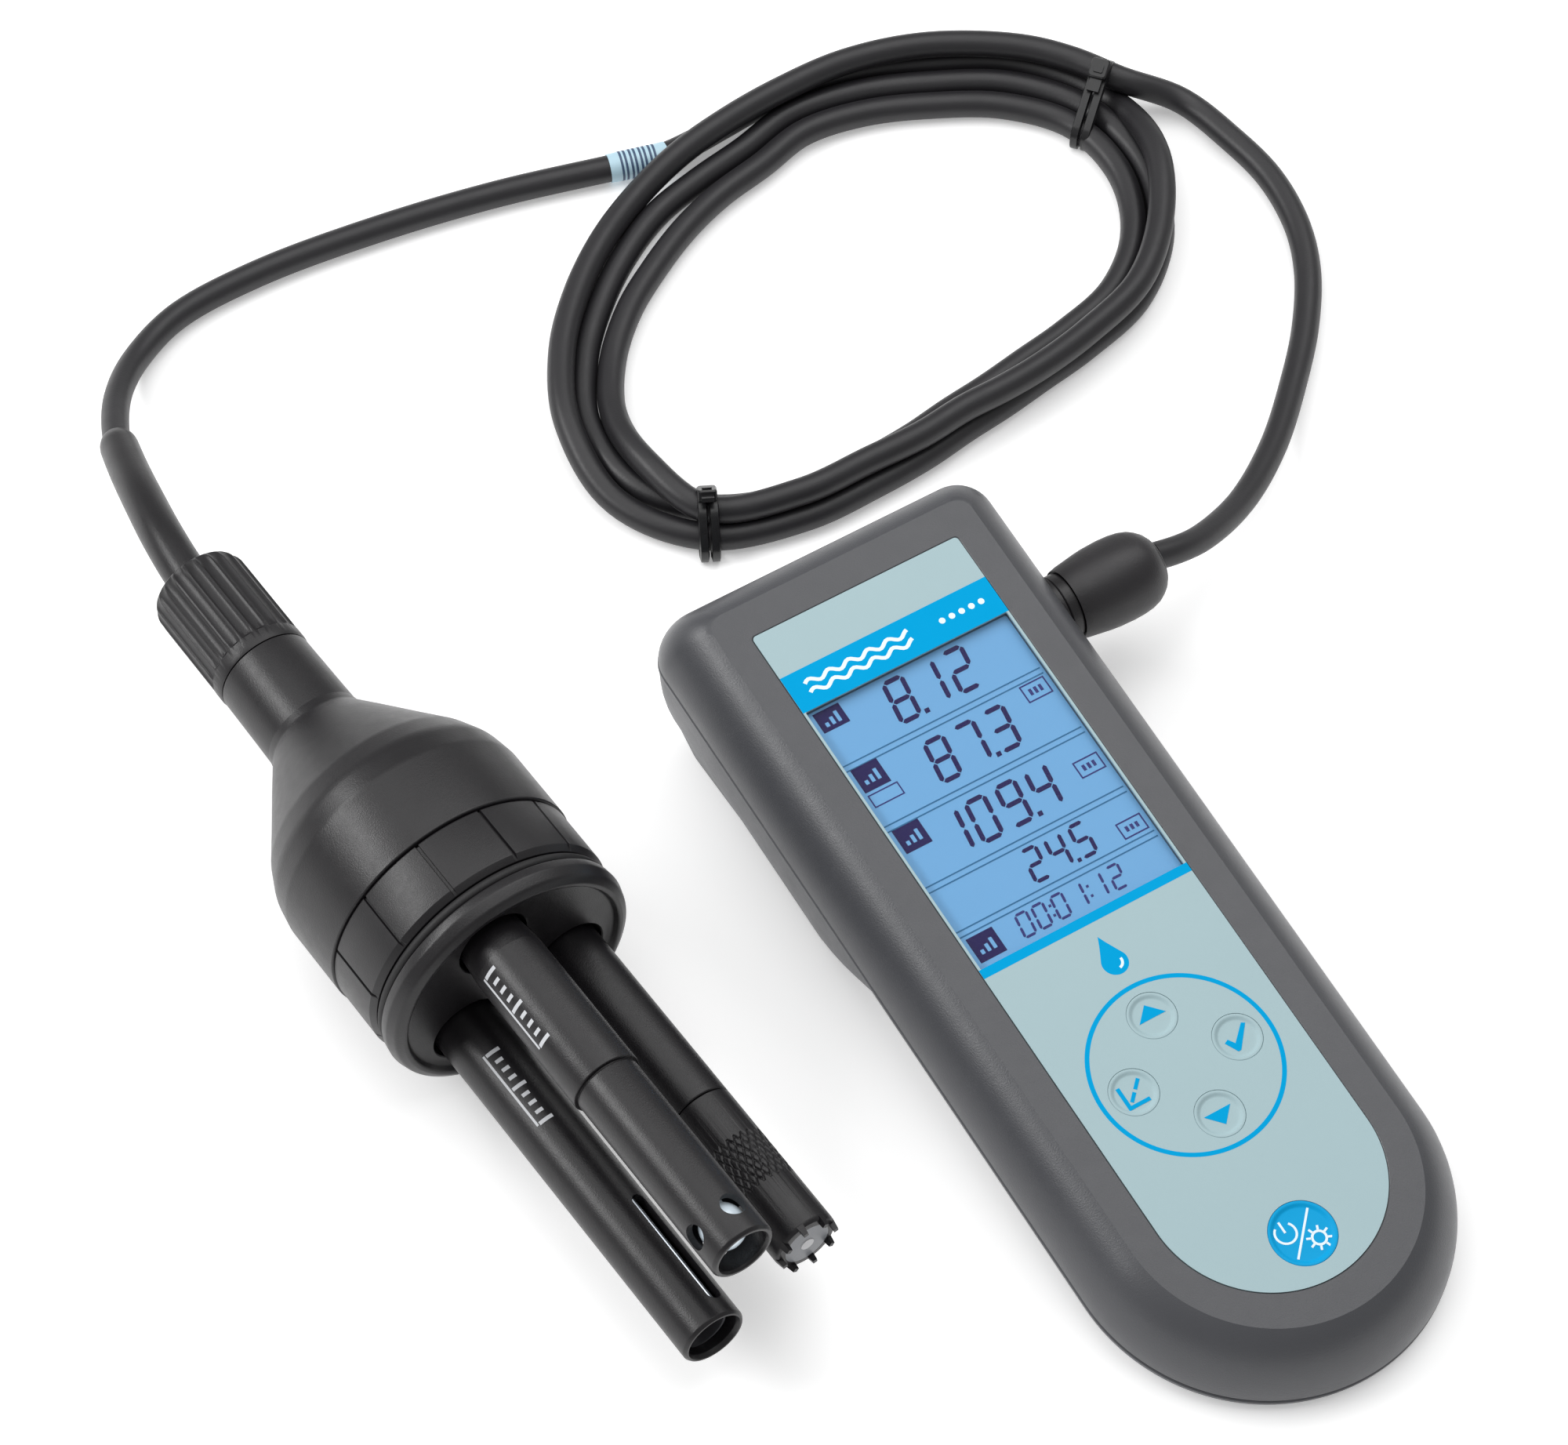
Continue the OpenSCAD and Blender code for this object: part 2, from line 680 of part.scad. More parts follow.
module tie_a() {
    color([0.05, 0.05, 0.05]) tie(tie_a_at, tie_a_turn, 7.2);
}

module tie_b() {
    color([0.05, 0.05, 0.05]) tie(tie_b_at, tie_b_turn, 8.6);
}

module cable_label() {
    color([0.75, 0.87, 0.93]) swept([[label_from[0], label_from[1], 3.05], [label_to[0], label_to[1], 3.05]],
        cable_r + 0.3, cable_r + 0.3);
}

// ---- probe ----
module gland_nut() {
    color([0.1, 0.1, 0.11]) in_probe() difference() {
        rotate_extrude() polygon([[5.2, nut_s0], [8.6, nut_s0], [nut_r, nut_s0 + 1.2], [nut_r, nut_s1],
            [6.9, nut_s1], [6.9, nut_s0 + 6], [5.2, nut_s0 + 4]]);
        for (i = [0 : nut_flutes - 1]) rotate([0, 0, i * 360 / nut_flutes])
            translate([nut_r + 0.35, 0, nut_s0 - 1]) cylinder(h = nut_s1 - nut_s0 - 1.2, r = 0.8);
    }
}

module gland_seal() {
    color([0.2, 0.2, 0.2]) in_probe() rotate_extrude()
        polygon([[tail_r + 0.02, seal_s0], [seal_r0, seal_s0], [seal_r1, seal_s0 + 3.5], [seal_r1, seal_s1],
            [tail_r + 0.02, seal_s1]]);
}

module cable_tail() {
    color([0.13, 0.13, 0.14]) in_probe() translate([0, 0, nut_s0 + 0.2]) cylinder(h = 80, r = tail_r);
}

// neck, cone, shoulder and front spigot, hollow inside
module housing() {
    color([0.1, 0.1, 0.11]) in_probe() rotate_extrude() polygon([
        [tail_r + 0.3, -94.2], [6.6, -94.2], [6.6, neck_s], [neck_r, neck_s], [neck_r + 0.3, cone_s - 1.5],
        [neck_r + 1.2, cone_s + 0.5], [20.5, -46.5], [22.6, -43], [24.4, -38.5], [body_r, shoulder_s],
        [body_r, ring_s0 - 0.1], [spigot_r, ring_s0 - 0.1], [spigot_r, -8.2],
        [spigot_r - house_wall, -8.2], [spigot_r - house_wall, -38], [18.5, -43], [neck_r - 1.5, cone_s + 2],
        [tail_r + 0.3, cone_s - 4]]);
}

module coupling_ring() {
    color([0.1, 0.1, 0.11]) in_probe() difference() {
        rotate_extrude() polygon([[spigot_r + ring_clear, ring_s0], [ring_r, ring_s0],
            [ring_r, ring_s1 - 0.5],
            [ring_r - 0.5, ring_s1], [spigot_r + ring_clear, ring_s1]]);
        for (i = [0 : ring_cut_n - 1]) rotate([0, 0, 15 + i * 360 / ring_cut_n])
            translate([ring_r - 0.4, -0.25, ring_s0 - 1]) cube([3, 0.5, ring_s1 - ring_s0 + 2]);
    }
}

module ring_seal() {
    color([0.03, 0.03, 0.03]) in_probe() rotate_extrude()
        polygon([[spigot_r + 0.02, -6.1], [body_r - 1, -6.1],
        [body_r - 0.5, -5.6], [body_r - 0.5, -3.6], [body_r - 1, -3.1], [spigot_r + 0.02, -3.1]]);
}

module carrier() {
    color([0.1, 0.1, 0.11]) in_probe() difference() {
        rotate_extrude() polygon([[0, -14], [spigot_r - house_wall - 0.1, -14],
            [spigot_r - house_wall - 0.1, -8.1], [spigot_r, -8.1], [spigot_r, flange_s],
            [body_r - 0.8, flange_s], [body_r - 0.3, flange_s + 0.5],
            [body_r - 0.3, rim_s - 2.2], [body_r - 1.6, rim_s - 0.4], [body_r - 2.6, rim_s],
            [body_r - 3.6, face_s], [0, face_s]]);
        for (t = turns) at_sensor(t) {
            translate([0, 0, -30]) cylinder(h = 60, r = bore_r);
            translate([0, 0, face_s - 1.2]) cylinder(h = 10, r1 = bore_r, r2 = bore_r + 10);
        }
    }
}

module head_board() {
    color([0.1, 0.35, 0.18]) in_probe() difference() {
        translate([0, 0, board_s]) cylinder(h = 1.6, r = spigot_r - house_wall - 0.3);
        for (t = turns) at_sensor(t) for (k = [0 : 3]) rotate([0, 0, 45 + 90 * k])
            translate([3, 0, board_s - 5]) cylinder(h = 12, r = 0.55);
    }
}

module head_contacts() {
    color([0.85, 0.7, 0.3]) in_probe() for (t = turns) at_sensor(t) for (k = [0 : 3])
        rotate([0, 0, 45 + 90 * k]) translate([3, 0, board_s - 1.4])
            cylinder(h = shaft_back_s - board_s + 1.3, r = 0.5);
}

// shaft common to the three sensors, with a groove for its rubber ring
module shaft(front_s) {
    difference() {
        translate([0, 0, shaft_back_s]) cylinder(h = front_s - shaft_back_s, r = shaft_r);
        translate([0, 0, -11]) difference() {
            cylinder(h = 1.8, r = shaft_r + 1);
            translate([0, 0, -1]) cylinder(h = 4, r = shaft_r - 1);
        }
    }
}

module shaft_seal() {
    translate([0, 0, -10.95]) difference() {
        cylinder(h = 1.7, r = shaft_r + 0.03);
        translate([0, 0, -1]) cylinder(h = 4, r = shaft_r - 0.98);
    }
}

module ph_body() {
    color([0.1, 0.1, 0.11]) in_probe() at_sensor(ph_turn) difference() {
        union() {
            shaft(tip_s);
            translate([0, 0, 5.5]) cylinder(h = ph_step_s - 5.5, r = ph_big_r + 0.5);
        }
        translate([0, 0, ph_bore_s]) cylinder(h = 40, r = ph_bore_r);
        for (k = [0 : 3]) rotate([0, 0, 20 + 90 * k]) translate([0, 0, window_s]) rotate([0, 90, 0])
            cylinder(h = 20, r = window_r);
    }
}

module ph_bulb() {
    color([0.75, 0.9, 0.95, 0.5]) in_probe() at_sensor(ph_turn) {
        translate([0, 0, ph_bore_s + 0.02]) cylinder(h = bulb_s - ph_bore_s, r = 2.6);
        translate([0, 0, bulb_s]) sphere(r = bulb_r);
    }
}

module ph_seal() {
    color([0.03, 0.03, 0.03]) in_probe() at_sensor(ph_turn) shaft_seal();
}

module ec_body() {
    color([0.1, 0.1, 0.11]) in_probe() at_sensor(ec_turn) difference() {
        shaft(tip_s);
        translate([0, 0, ec_bore_s]) cylinder(h = 60, r = ec_bore_r);
        rotate([0, 0, slot_turn]) translate([rod_out, 0, ec_bore_s - 3.5]) cylinder(h = 10, r = rod_r + 0.02);
        rotate([0, 0, slot_turn]) {
            translate([0, -slot_w / 2, slot_s0]) cube([20, slot_w, slot_s1 - slot_s0]);
            for (s = [slot_s0, slot_s1])
                translate([0, 0, s]) rotate([0, 90, 0]) cylinder(h = 20, r = slot_w / 2);
        }
    }
}

module ec_rod() {
    color([0.85, 0.86, 0.88]) in_probe() at_sensor(ec_turn) rotate([0, 0, slot_turn])
        translate([rod_out, 0, ec_bore_s - 3]) cylinder(h = 31, r = rod_r);
}

module ec_electrodes() {
    color([0.25, 0.25, 0.27]) in_probe() at_sensor(ec_turn) for (s = [43, 72.5]) translate([0, 0, s])
        difference() {
            cylinder(h = 2, r = ec_bore_r - 0.02);
            translate([0, 0, -1]) cylinder(h = 4, r = ec_bore_r - 0.5);
        }
}

module ec_seal() {
    color([0.03, 0.03, 0.03]) in_probe() at_sensor(ec_turn) shaft_seal();
}

module do_body() {
    color([0.1, 0.1, 0.11]) in_probe() at_sensor(do_turn) {
        shaft(do_cap_s - 0.15);
        translate([0, 0, do_cap_s - 0.2]) cylinder(h = do_shaft_end_s - do_cap_s, r = 4.6);
    }
}

module do_cap() {
    color([0.09, 0.09, 0.1]) in_probe() at_sensor(do_turn) {
        difference() {
            translate([0, 0, do_cap_s]) cylinder(h = do_face_s - do_cap_s, r = shaft_r);
            translate([0, 0, do_cap_s - 1]) cylinder(h = do_face_s - do_cap_s - 0.2, r = 4.65);
            translate([0, 0, do_cap_s]) cylinder(h = 60, r = 2.6);
            for (k = [0 : 23]) rotate([0, 0, 15 * k]) translate([shaft_r + 0.12, 0, do_knurl_s0])
                cylinder(h = do_knurl_s1 - do_knurl_s0, r = 0.32);
        }
        for (k = [0 : tooth_n - 1]) rotate([0, 0, k * 360 / tooth_n + 10])
            translate([shaft_r - 1.2, -tooth_w / 2, do_face_s - 0.3]) cube([1.1, tooth_w, tooth_h + 0.3]);
    }
}

module do_membrane() {
    color([0.85, 0.85, 0.86]) in_probe() at_sensor(do_turn) translate([0, 0, do_face_s - 1.4])
        cylinder(h = 0.15, r = 4.5);
}

module do_cathode() {
    color([0.75, 0.75, 0.78]) in_probe() at_sensor(do_turn) translate([0, 0, do_shaft_end_s - 0.18])
        cylinder(h = 7, r = 1.6);
}

module do_seal() {
    color([0.03, 0.03, 0.03]) in_probe() at_sensor(do_turn) shaft_seal();
}

top_shell();
bottom_shell();
case_seal();
overlay();
window();
lcd_glass();
lcd_frame();
backlight();
main_board();
board_screws();
key_domes();
key_up();
key_check();
key_return();
key_down();
key_power();
socket();
socket_pins();
battery_tray();
battery_cells();
battery_contacts();
battery_door();
case_screws();
plug_body();
plug_collar();
plug_nose();
cable_a();
coil();
cable_b();
tie_a();
tie_b();
cable_label();
strain_relief();
gland_nut();
gland_seal();
cable_tail();
housing();
coupling_ring();
ring_seal();
carrier();
head_board();
head_contacts();
ph_body();
ph_bulb();
ph_seal();
ec_body();
ec_rod();
ec_electrodes();
ec_seal();
do_body();
do_cap();
do_membrane();
do_cathode();
do_seal();
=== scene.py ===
"""A handheld water-quality meter with a coiled cable and a three-sensor probe."""

import math

import bmesh
import bpy
from mathutils import Matrix, Vector
from mathutils.geometry import tessellate_polygon


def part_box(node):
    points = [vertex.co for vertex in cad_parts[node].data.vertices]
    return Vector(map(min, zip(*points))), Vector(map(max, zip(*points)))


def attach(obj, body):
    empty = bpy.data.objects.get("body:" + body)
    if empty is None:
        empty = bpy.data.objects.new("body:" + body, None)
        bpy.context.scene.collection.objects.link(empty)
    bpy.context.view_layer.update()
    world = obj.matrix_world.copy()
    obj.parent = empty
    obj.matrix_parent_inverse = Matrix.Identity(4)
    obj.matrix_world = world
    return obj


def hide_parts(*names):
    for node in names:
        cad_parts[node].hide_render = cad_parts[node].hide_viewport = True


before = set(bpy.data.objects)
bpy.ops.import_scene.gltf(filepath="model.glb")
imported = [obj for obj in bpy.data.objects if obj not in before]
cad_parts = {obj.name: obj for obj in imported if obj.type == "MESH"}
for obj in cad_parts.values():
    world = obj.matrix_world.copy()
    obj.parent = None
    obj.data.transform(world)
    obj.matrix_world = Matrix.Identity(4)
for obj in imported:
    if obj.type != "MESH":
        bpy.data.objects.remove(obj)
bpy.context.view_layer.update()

# All shapes are written in mm. On the probe and its sensors, s is the distance along the axis towards the
# sensor tips, with s = 0 at the front face of the carrier.
MM = 0.001
TAU = 2 * math.pi


# ---------------------------------------------------------------- helpers
def sin_d(a):
    return math.sin(math.radians(a))


def cos_d(a):
    return math.cos(math.radians(a))


def linear(rgb):
    """An sRGB colour, 0 to 255, as a linear RGBA tuple."""
    out = []
    for c in rgb:
        c /= 255
        out.append(c / 12.92 if c <= 0.04045 else ((c + 0.055) / 1.055) ** 2.4)
    return (*out, 1.0)


def turn(angle, axis):
    return Matrix.Rotation(math.radians(angle), 4, axis)


def move(x, y, z=0.0):
    return Matrix.Translation((x, y, z))


REST_TILT = 7.5
METER = move(41.9, -63.7, 24.6) @ turn(REST_TILT, "X")
LEVEL = move(41.9, -63.7, 0)
PROBE = move(-49.6, 14.2, 25.4) @ turn(3.6, "Z") @ turn(90, "X")
SOCKET = METER @ move(0, 95.2, -16) @ turn(90, "Y")
CIRCLE = 13.0   # the three sensors stand on this radius


def sensor_place(angle):
    return PROBE @ move(CIRCLE * cos_d(angle), CIRCLE * sin_d(angle))


# ---------------------------------------------------------------- camera
SENSOR = 36
FOCAL_PX, FRAME_PX = 7551, 2000
CAM_AT = Vector((-0.3062, -0.4936, 0.9044))
CAM_AZ, CAM_EL, CAM_ROLL = -31.693, 54.751, 0.069
cam_data = bpy.data.cameras.new("camera")
cam_data.sensor_width = SENSOR
cam_data.lens = FOCAL_PX / FRAME_PX * SENSOR
cam_data.clip_start = 0.05
cam_data.clip_end = 20
camera = bpy.data.objects.new("camera", cam_data)
bpy.context.collection.objects.link(camera)
back = Vector((sin_d(CAM_AZ) * cos_d(CAM_EL), -cos_d(CAM_AZ) * cos_d(CAM_EL), sin_d(CAM_EL)))
camera.matrix_world = (
    Matrix.Translation(CAM_AT) @ back.to_track_quat("Z", "Y").to_matrix().to_4x4()
    @ turn(CAM_ROLL, "Z")
)
bpy.context.scene.camera = camera


# ---------------------------------------------------------------- materials
def material(name, colour, rough=0.45, spread=0.05, patch=9.0, grain=0.25, grain_size=0.35,
             metal=0.0, coat=0.0, spec=0.5, rough_spread=0.08, glow=0.0):
    """A finish with uneven tone, uneven gloss and a fine grain in relief; sizes in mm."""
    mat = bpy.data.materials.new(name)
    mat.use_nodes = True
    nt = mat.node_tree
    bsdf = nt.nodes["Principled BSDF"]
    coord = nt.nodes.new("ShaderNodeTexCoord")

    def noise(size, detail, rough_in=0.55):
        node = nt.nodes.new("ShaderNodeTexNoise")
        node.inputs["Scale"].default_value = 1 / (size * MM)
        node.inputs["Detail"].default_value = detail
        node.inputs["Roughness"].default_value = rough_in
        nt.links.new(coord.outputs["Object"], node.inputs["Vector"])
        return node

    broad = noise(patch, 4)
    col = linear(colour)
    ramp = nt.nodes.new("ShaderNodeMix")
    ramp.data_type = "RGBA"
    ramp.inputs["A"].default_value = (*[c * (1 - spread) for c in col[:3]], 1)
    ramp.inputs["B"].default_value = (*[min(1, c * (1 + spread) + 0.002) for c in col[:3]], 1)
    nt.links.new(broad.outputs["Fac"], ramp.inputs["Factor"])
    nt.links.new(ramp.outputs["Result"], bsdf.inputs["Base Color"])
    fine = noise(patch * 0.31, 5, 0.65)
    gloss = nt.nodes.new("ShaderNodeMapRange")
    gloss.inputs["To Min"].default_value = max(0.02, rough - rough_spread)
    gloss.inputs["To Max"].default_value = min(1, rough + rough_spread)
    nt.links.new(fine.outputs["Fac"], gloss.inputs["Value"])
    nt.links.new(gloss.outputs["Result"], bsdf.inputs["Roughness"])
    relief = noise(grain_size, 3, 0.6)
    bump = nt.nodes.new("ShaderNodeBump")
    bump.inputs["Strength"].default_value = grain
    bump.inputs["Distance"].default_value = 0.00012
    nt.links.new(relief.outputs["Fac"], bump.inputs["Height"])
    nt.links.new(bump.outputs["Normal"], bsdf.inputs["Normal"])
    bsdf.inputs["Metallic"].default_value = metal
    bsdf.inputs["Coat Weight"].default_value = coat
    bsdf.inputs["Coat Roughness"].default_value = 0.12
    bsdf.inputs["Specular IOR Level"].default_value = spec
    if glow:
        bsdf.inputs["Emission Color"].default_value = col
        bsdf.inputs["Emission Strength"].default_value = glow
    return mat


MOST_SHINE = 0.035   # keeps a low view through a clear sheet from turning into a mirror


def clear_material(name, tint, gloss_rough=0.22, ior=1.2):
    """A clear sheet: see-through, with a faint sheen at its face."""
    mat = bpy.data.materials.new(name)
    mat.use_nodes = True
    nt = mat.node_tree
    nt.nodes.remove(nt.nodes["Principled BSDF"])
    out = nt.nodes["Material Output"]
    through = nt.nodes.new("ShaderNodeBsdfTransparent")
    through.inputs["Color"].default_value = tint
    shine = nt.nodes.new("ShaderNodeBsdfGlossy")
    shine.inputs["Roughness"].default_value = gloss_rough
    fres = nt.nodes.new("ShaderNodeFresnel")
    fres.inputs["IOR"].default_value = ior
    mix = nt.nodes.new("ShaderNodeMixShader")
    cap = nt.nodes.new("ShaderNodeMath")
    cap.operation = "MINIMUM"
    cap.inputs[1].default_value = MOST_SHINE
    nt.links.new(fres.outputs["Fac"], cap.inputs[0])
    nt.links.new(cap.outputs["Value"], mix.inputs["Fac"])
    nt.links.new(through.outputs["BSDF"], mix.inputs[1])
    nt.links.new(shine.outputs["BSDF"], mix.inputs[2])
    coord = nt.nodes.new("ShaderNodeTexCoord")
    noise = nt.nodes.new("ShaderNodeTexNoise")
    noise.inputs["Scale"].default_value = 300
    bump = nt.nodes.new("ShaderNodeBump")
    bump.inputs["Strength"].default_value = 0.03
    bump.inputs["Distance"].default_value = 0.0001
    nt.links.new(coord.outputs["Object"], noise.inputs["Vector"])
    nt.links.new(noise.outputs["Fac"], bump.inputs["Height"])
    nt.links.new(bump.outputs["Normal"], shine.inputs["Normal"])
    nt.links.new(mix.outputs["Shader"], out.inputs["Surface"])
    return mat


GREY = material("case_grey", (68, 69, 73), 0.34, 0.05, 14, 0.4, 0.28)
GREY_LOW = material("case_grey_low", (72, 73, 77), 0.4, 0.05, 14, 0.4, 0.3)
SEAM = material("seam_black", (26, 26, 28), 0.6)
FILM = material("overlay_film", (163, 187, 192), 0.55, 0.015, 20, 0.16, 0.22, rough_spread=0.05, spec=0.25)
CYAN = material("print_cyan", (0, 158, 214), 0.65, 0.02, 10, 0.12, 0.22, spec=0.03)
CYAN_KEY = material("key_cyan", (0, 158, 214), 0.5, 0.03, 6, 0.12, 0.22, spec=0.12)
WHITE = material("print_white", (226, 240, 246), 0.45, 0.02)
BLACK = material("black_plastic", (18, 16, 19), 0.36, 0.14, 8, 0.3, 0.3, spec=0.45)
BLACK_SOFT = material("black_nylon", (18, 16, 19), 0.38, 0.14, 6, 0.3, 0.25, spec=0.45)
CHARCOAL = material("charcoal_plug", (30, 28, 31), 0.42, 0.1, 7, 0.35, 0.3)
RUBBER = material("rubber", (20, 19, 21), 0.62, 0.1, 5, 0.4, 0.3)
CABLE = material("cable_jacket", (30, 29, 32), 0.45, 0.12, 12, 0.25, 0.5)
TIE = material("tie_nylon", (17, 17, 19), 0.3, 0.1, 4, 0.15, 0.3)
SLEEVE = material("label_sleeve", (178, 208, 222), 0.4, 0.03, 3)
SLEEVE_INK = material("label_ink", (60, 82, 110), 0.5)
LCD = material("lcd_face", (106, 158, 202), 0.7, 0.03, 40, 0.04, 0.3, glow=0.14, spec=0.1)
LCD_INK = material("lcd_ink", (24, 8, 76), 0.8, 0.03, spec=0.05)
LCD_LINE = material("lcd_line", (46, 104, 146), 0.8, 0.03, spec=0.05)
LCD_SMALL = material("lcd_small_ink", (48, 48, 112), 0.8, 0.03, spec=0.05)
WINDOW = clear_material("clear_window", (0.97, 0.985, 0.99, 1))
STEEL = material("steel", (190, 192, 196), 0.24, 0.05, 2, 0.2, 0.2, metal=1)
BRIGHT_ROD = material("bright_rod", (214, 222, 232), 0.2, 0.05, 2, 0.1, 0.2, metal=1)
GOLD = material("gold", (212, 170, 90), 0.28, 0.05, 2, metal=1)
BOARD = material("circuit_board", (24, 84, 52), 0.45, 0.1, 4)
CELL = material("cell_jacket", (60, 62, 70), 0.4, 0.06, 8)
GRAPHITE = material("graphite", (62, 62, 66), 0.55, 0.1, 2)
MEMBRANE = material("membrane", (120, 122, 126), 0.35, 0.06, 2)
PALE = material("pale_centre", (186, 186, 188), 0.4, 0.05, 2)
PRINT = material("print_pale", (196, 198, 202), 0.5, 0.06, 3)
# the glass bulb: pale and faintly glowing, a painted reflection and highlight for the glass
BULB_SHEEN = material("bulb_painted_sheen", (222, 236, 246), 0.14, 0.03, 3, 0.05, coat=0.6, glow=0.12)


# ---------------------------------------------------------------- mesh tools
SHARP = 34      # degrees; edges sharper than this stay crisp
PRINT_LIFT = 0.02


class Build:
    """Gathers pieces of surface in mm and makes one object of them."""

    def __init__(self):
        self.verts, self.faces, self.index = [], [], []

    def add(self, shape, place=None, mat=0):
        base = len(self.verts)
        verts, faces = shape
        for p in verts:
            v = Vector(p)
            self.verts.append(place @ v if place else v)
        for f in faces:
            self.faces.append([base + i for i in f])
            self.index.append(mat)
        return self

    def done(self, name, mats, body, replaces=(), slot=None, sharp=SHARP):
        mesh = bpy.data.meshes.new(name)
        mesh.from_pydata([v * MM for v in self.verts], [], self.faces)
        mats = mats if isinstance(mats, (list, tuple)) else [mats]
        for m in mats:
            mesh.materials.append(m)
        mesh.polygons.foreach_set("material_index", self.index)
        bm = bmesh.new()
        bm.from_mesh(mesh)
        bmesh.ops.recalc_face_normals(bm, faces=bm.faces)
        bm.to_mesh(mesh)
        bm.free()
        mesh.polygons.foreach_set("use_smooth", [True] * len(mesh.polygons))
        mesh.set_sharp_from_angle(angle=math.radians(sharp))
        mesh.update()
        obj = bpy.data.objects.new(name, mesh)
        bpy.context.collection.objects.link(obj)
        if body:
            finish_piece(obj, body, replaces)
        return obj


def finish_piece(obj, body, replaces=()):
    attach(obj, body)
    if replaces:
        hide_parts(*([replaces] if isinstance(replaces, str) else replaces))


def loft(rings, closed=False, cap=True):
    n, m = len(rings[0]), len(rings)
    verts = [p for ring in rings for p in ring]
    faces = []
    for i in range(m if closed else m - 1):
        a, b = i * n, ((i + 1) % m) * n
        for j in range(n):
            k = (j + 1) % n
            faces.append((a + j, a + k, b + k, b + j))
    if cap and not closed:
        faces.append(tuple(range(n))[::-1])
        faces.append(tuple(range((m - 1) * n, m * n)))
    return verts, faces


def fillet(points, radius, steps=4, closed=False):
    """Rounds a 2D path's corners; a point's third number is its own radius."""
    out, n = [], len(points)
    for i, p in enumerate(points):
        r = p[2] if len(p) > 2 else radius
        if (not closed and i in (0, n - 1)) or r <= 0:
            out.append((p[0], p[1]))
            continue
        b = Vector(p[:2])
        u = Vector(points[i - 1][:2]) - b
        v = Vector(points[(i + 1) % n][:2]) - b
        lu, lv = u.length, v.length
        u, v = u / lu, v / lv
        ang = u.angle(v)
        if ang > math.radians(177):
            out.append((p[0], p[1]))
            continue
        d = min(r / math.tan(ang / 2), 0.49 * lu, 0.49 * lv)
        r = d * math.tan(ang / 2)
        c = b + (u + v).normalized() * (r / math.sin(ang / 2))
        s, e = b + u * d - c, b + v * d - c
        a0 = math.atan2(s.y, s.x)
        sweep = (math.atan2(e.y, e.x) - a0 + math.pi) % TAU - math.pi
        for k in range(steps + 1):
            t = a0 + sweep * k / steps
            out.append((c.x + r * math.cos(t), c.y + r * math.sin(t)))
    return out


def even_angles(n):
    return [360 * i / n for i in range(n)]


def revolve(profile, seg=96, angles=None, dent=None, closed=False, cap=True):
    """Turns (radius, height) points about the Z axis. dent(angle, radius, height) lowers the radius."""
    angles = angles or even_angles(seg)
    rings = []
    for r, s in profile:
        ring = []
        for a in angles:
            q = max(0.01, r - (dent(a, r, s) if dent else 0))
            ring.append((q * cos_d(a), q * sin_d(a), s))
        rings.append(ring)
    return loft(rings, closed, cap)


def plate(outline, z0, z1, holes=()):
    """A flat sheet with holes; loops are lists of (x, y)."""
    loops = [list(outline)] + [list(h) for h in holes]
    flat = [p for loop in loops for p in loop]
    n = len(flat)
    tris = tessellate_polygon([[Vector((x, y, 0)) for x, y in loop] for loop in loops])
    verts = [(x, y, z1) for x, y in flat] + [(x, y, z0) for x, y in flat]
    faces = [tuple(t) for t in tris] + [tuple(i + n for i in reversed(t)) for t in tris]
    at = 0
    for loop in loops:
        k = len(loop)
        for j in range(k):
            a, b = at + j, at + (j + 1) % k
            faces.append((a, b, b + n, a + n))
        at += k
    return verts, faces


def circle(cx, cy, r, n=48):
    return [(cx + r * cos_d(360 * i / n), cy + r * sin_d(360 * i / n)) for i in range(n)]


def rect(x0, x1, y0, y1):
    return [(x0, y0), (x1, y0), (x1, y1), (x0, y1)]


def rounded_box(x0, x1, y0, y1, r, n=6):
    pts = []
    for cx, cy, a0 in ((x1 - r, y1 - r, 0), (x0 + r, y1 - r, 90),
                       (x0 + r, y0 + r, 180), (x1 - r, y0 + r, 270)):
        for k in range(n + 1):
            a = a0 + 90 * k / n
            pts.append((cx + r * cos_d(a), cy + r * sin_d(a)))
    return pts


def stroke(points, width, z0, z1, closed=False):
    """A flat line of that width along 2D points."""
    left, right = [], []
    n = len(points)
    for i, p in enumerate(points):
        if closed:
            a, b = Vector(points[i - 1]), Vector(points[(i + 1) % n])
        else:
            a, b = Vector(points[max(0, i - 1)]), Vector(points[min(n - 1, i + 1)])
        d = (b - a).normalized()
        m = Vector((-d.y, d.x)) * width / 2
        left.append((p[0] + m.x, p[1] + m.y))
        right.append((p[0] - m.x, p[1] - m.y))
    if closed:
        return plate(left, z0, z1, [right])
    return plate(left + right[::-1], z0, z1)


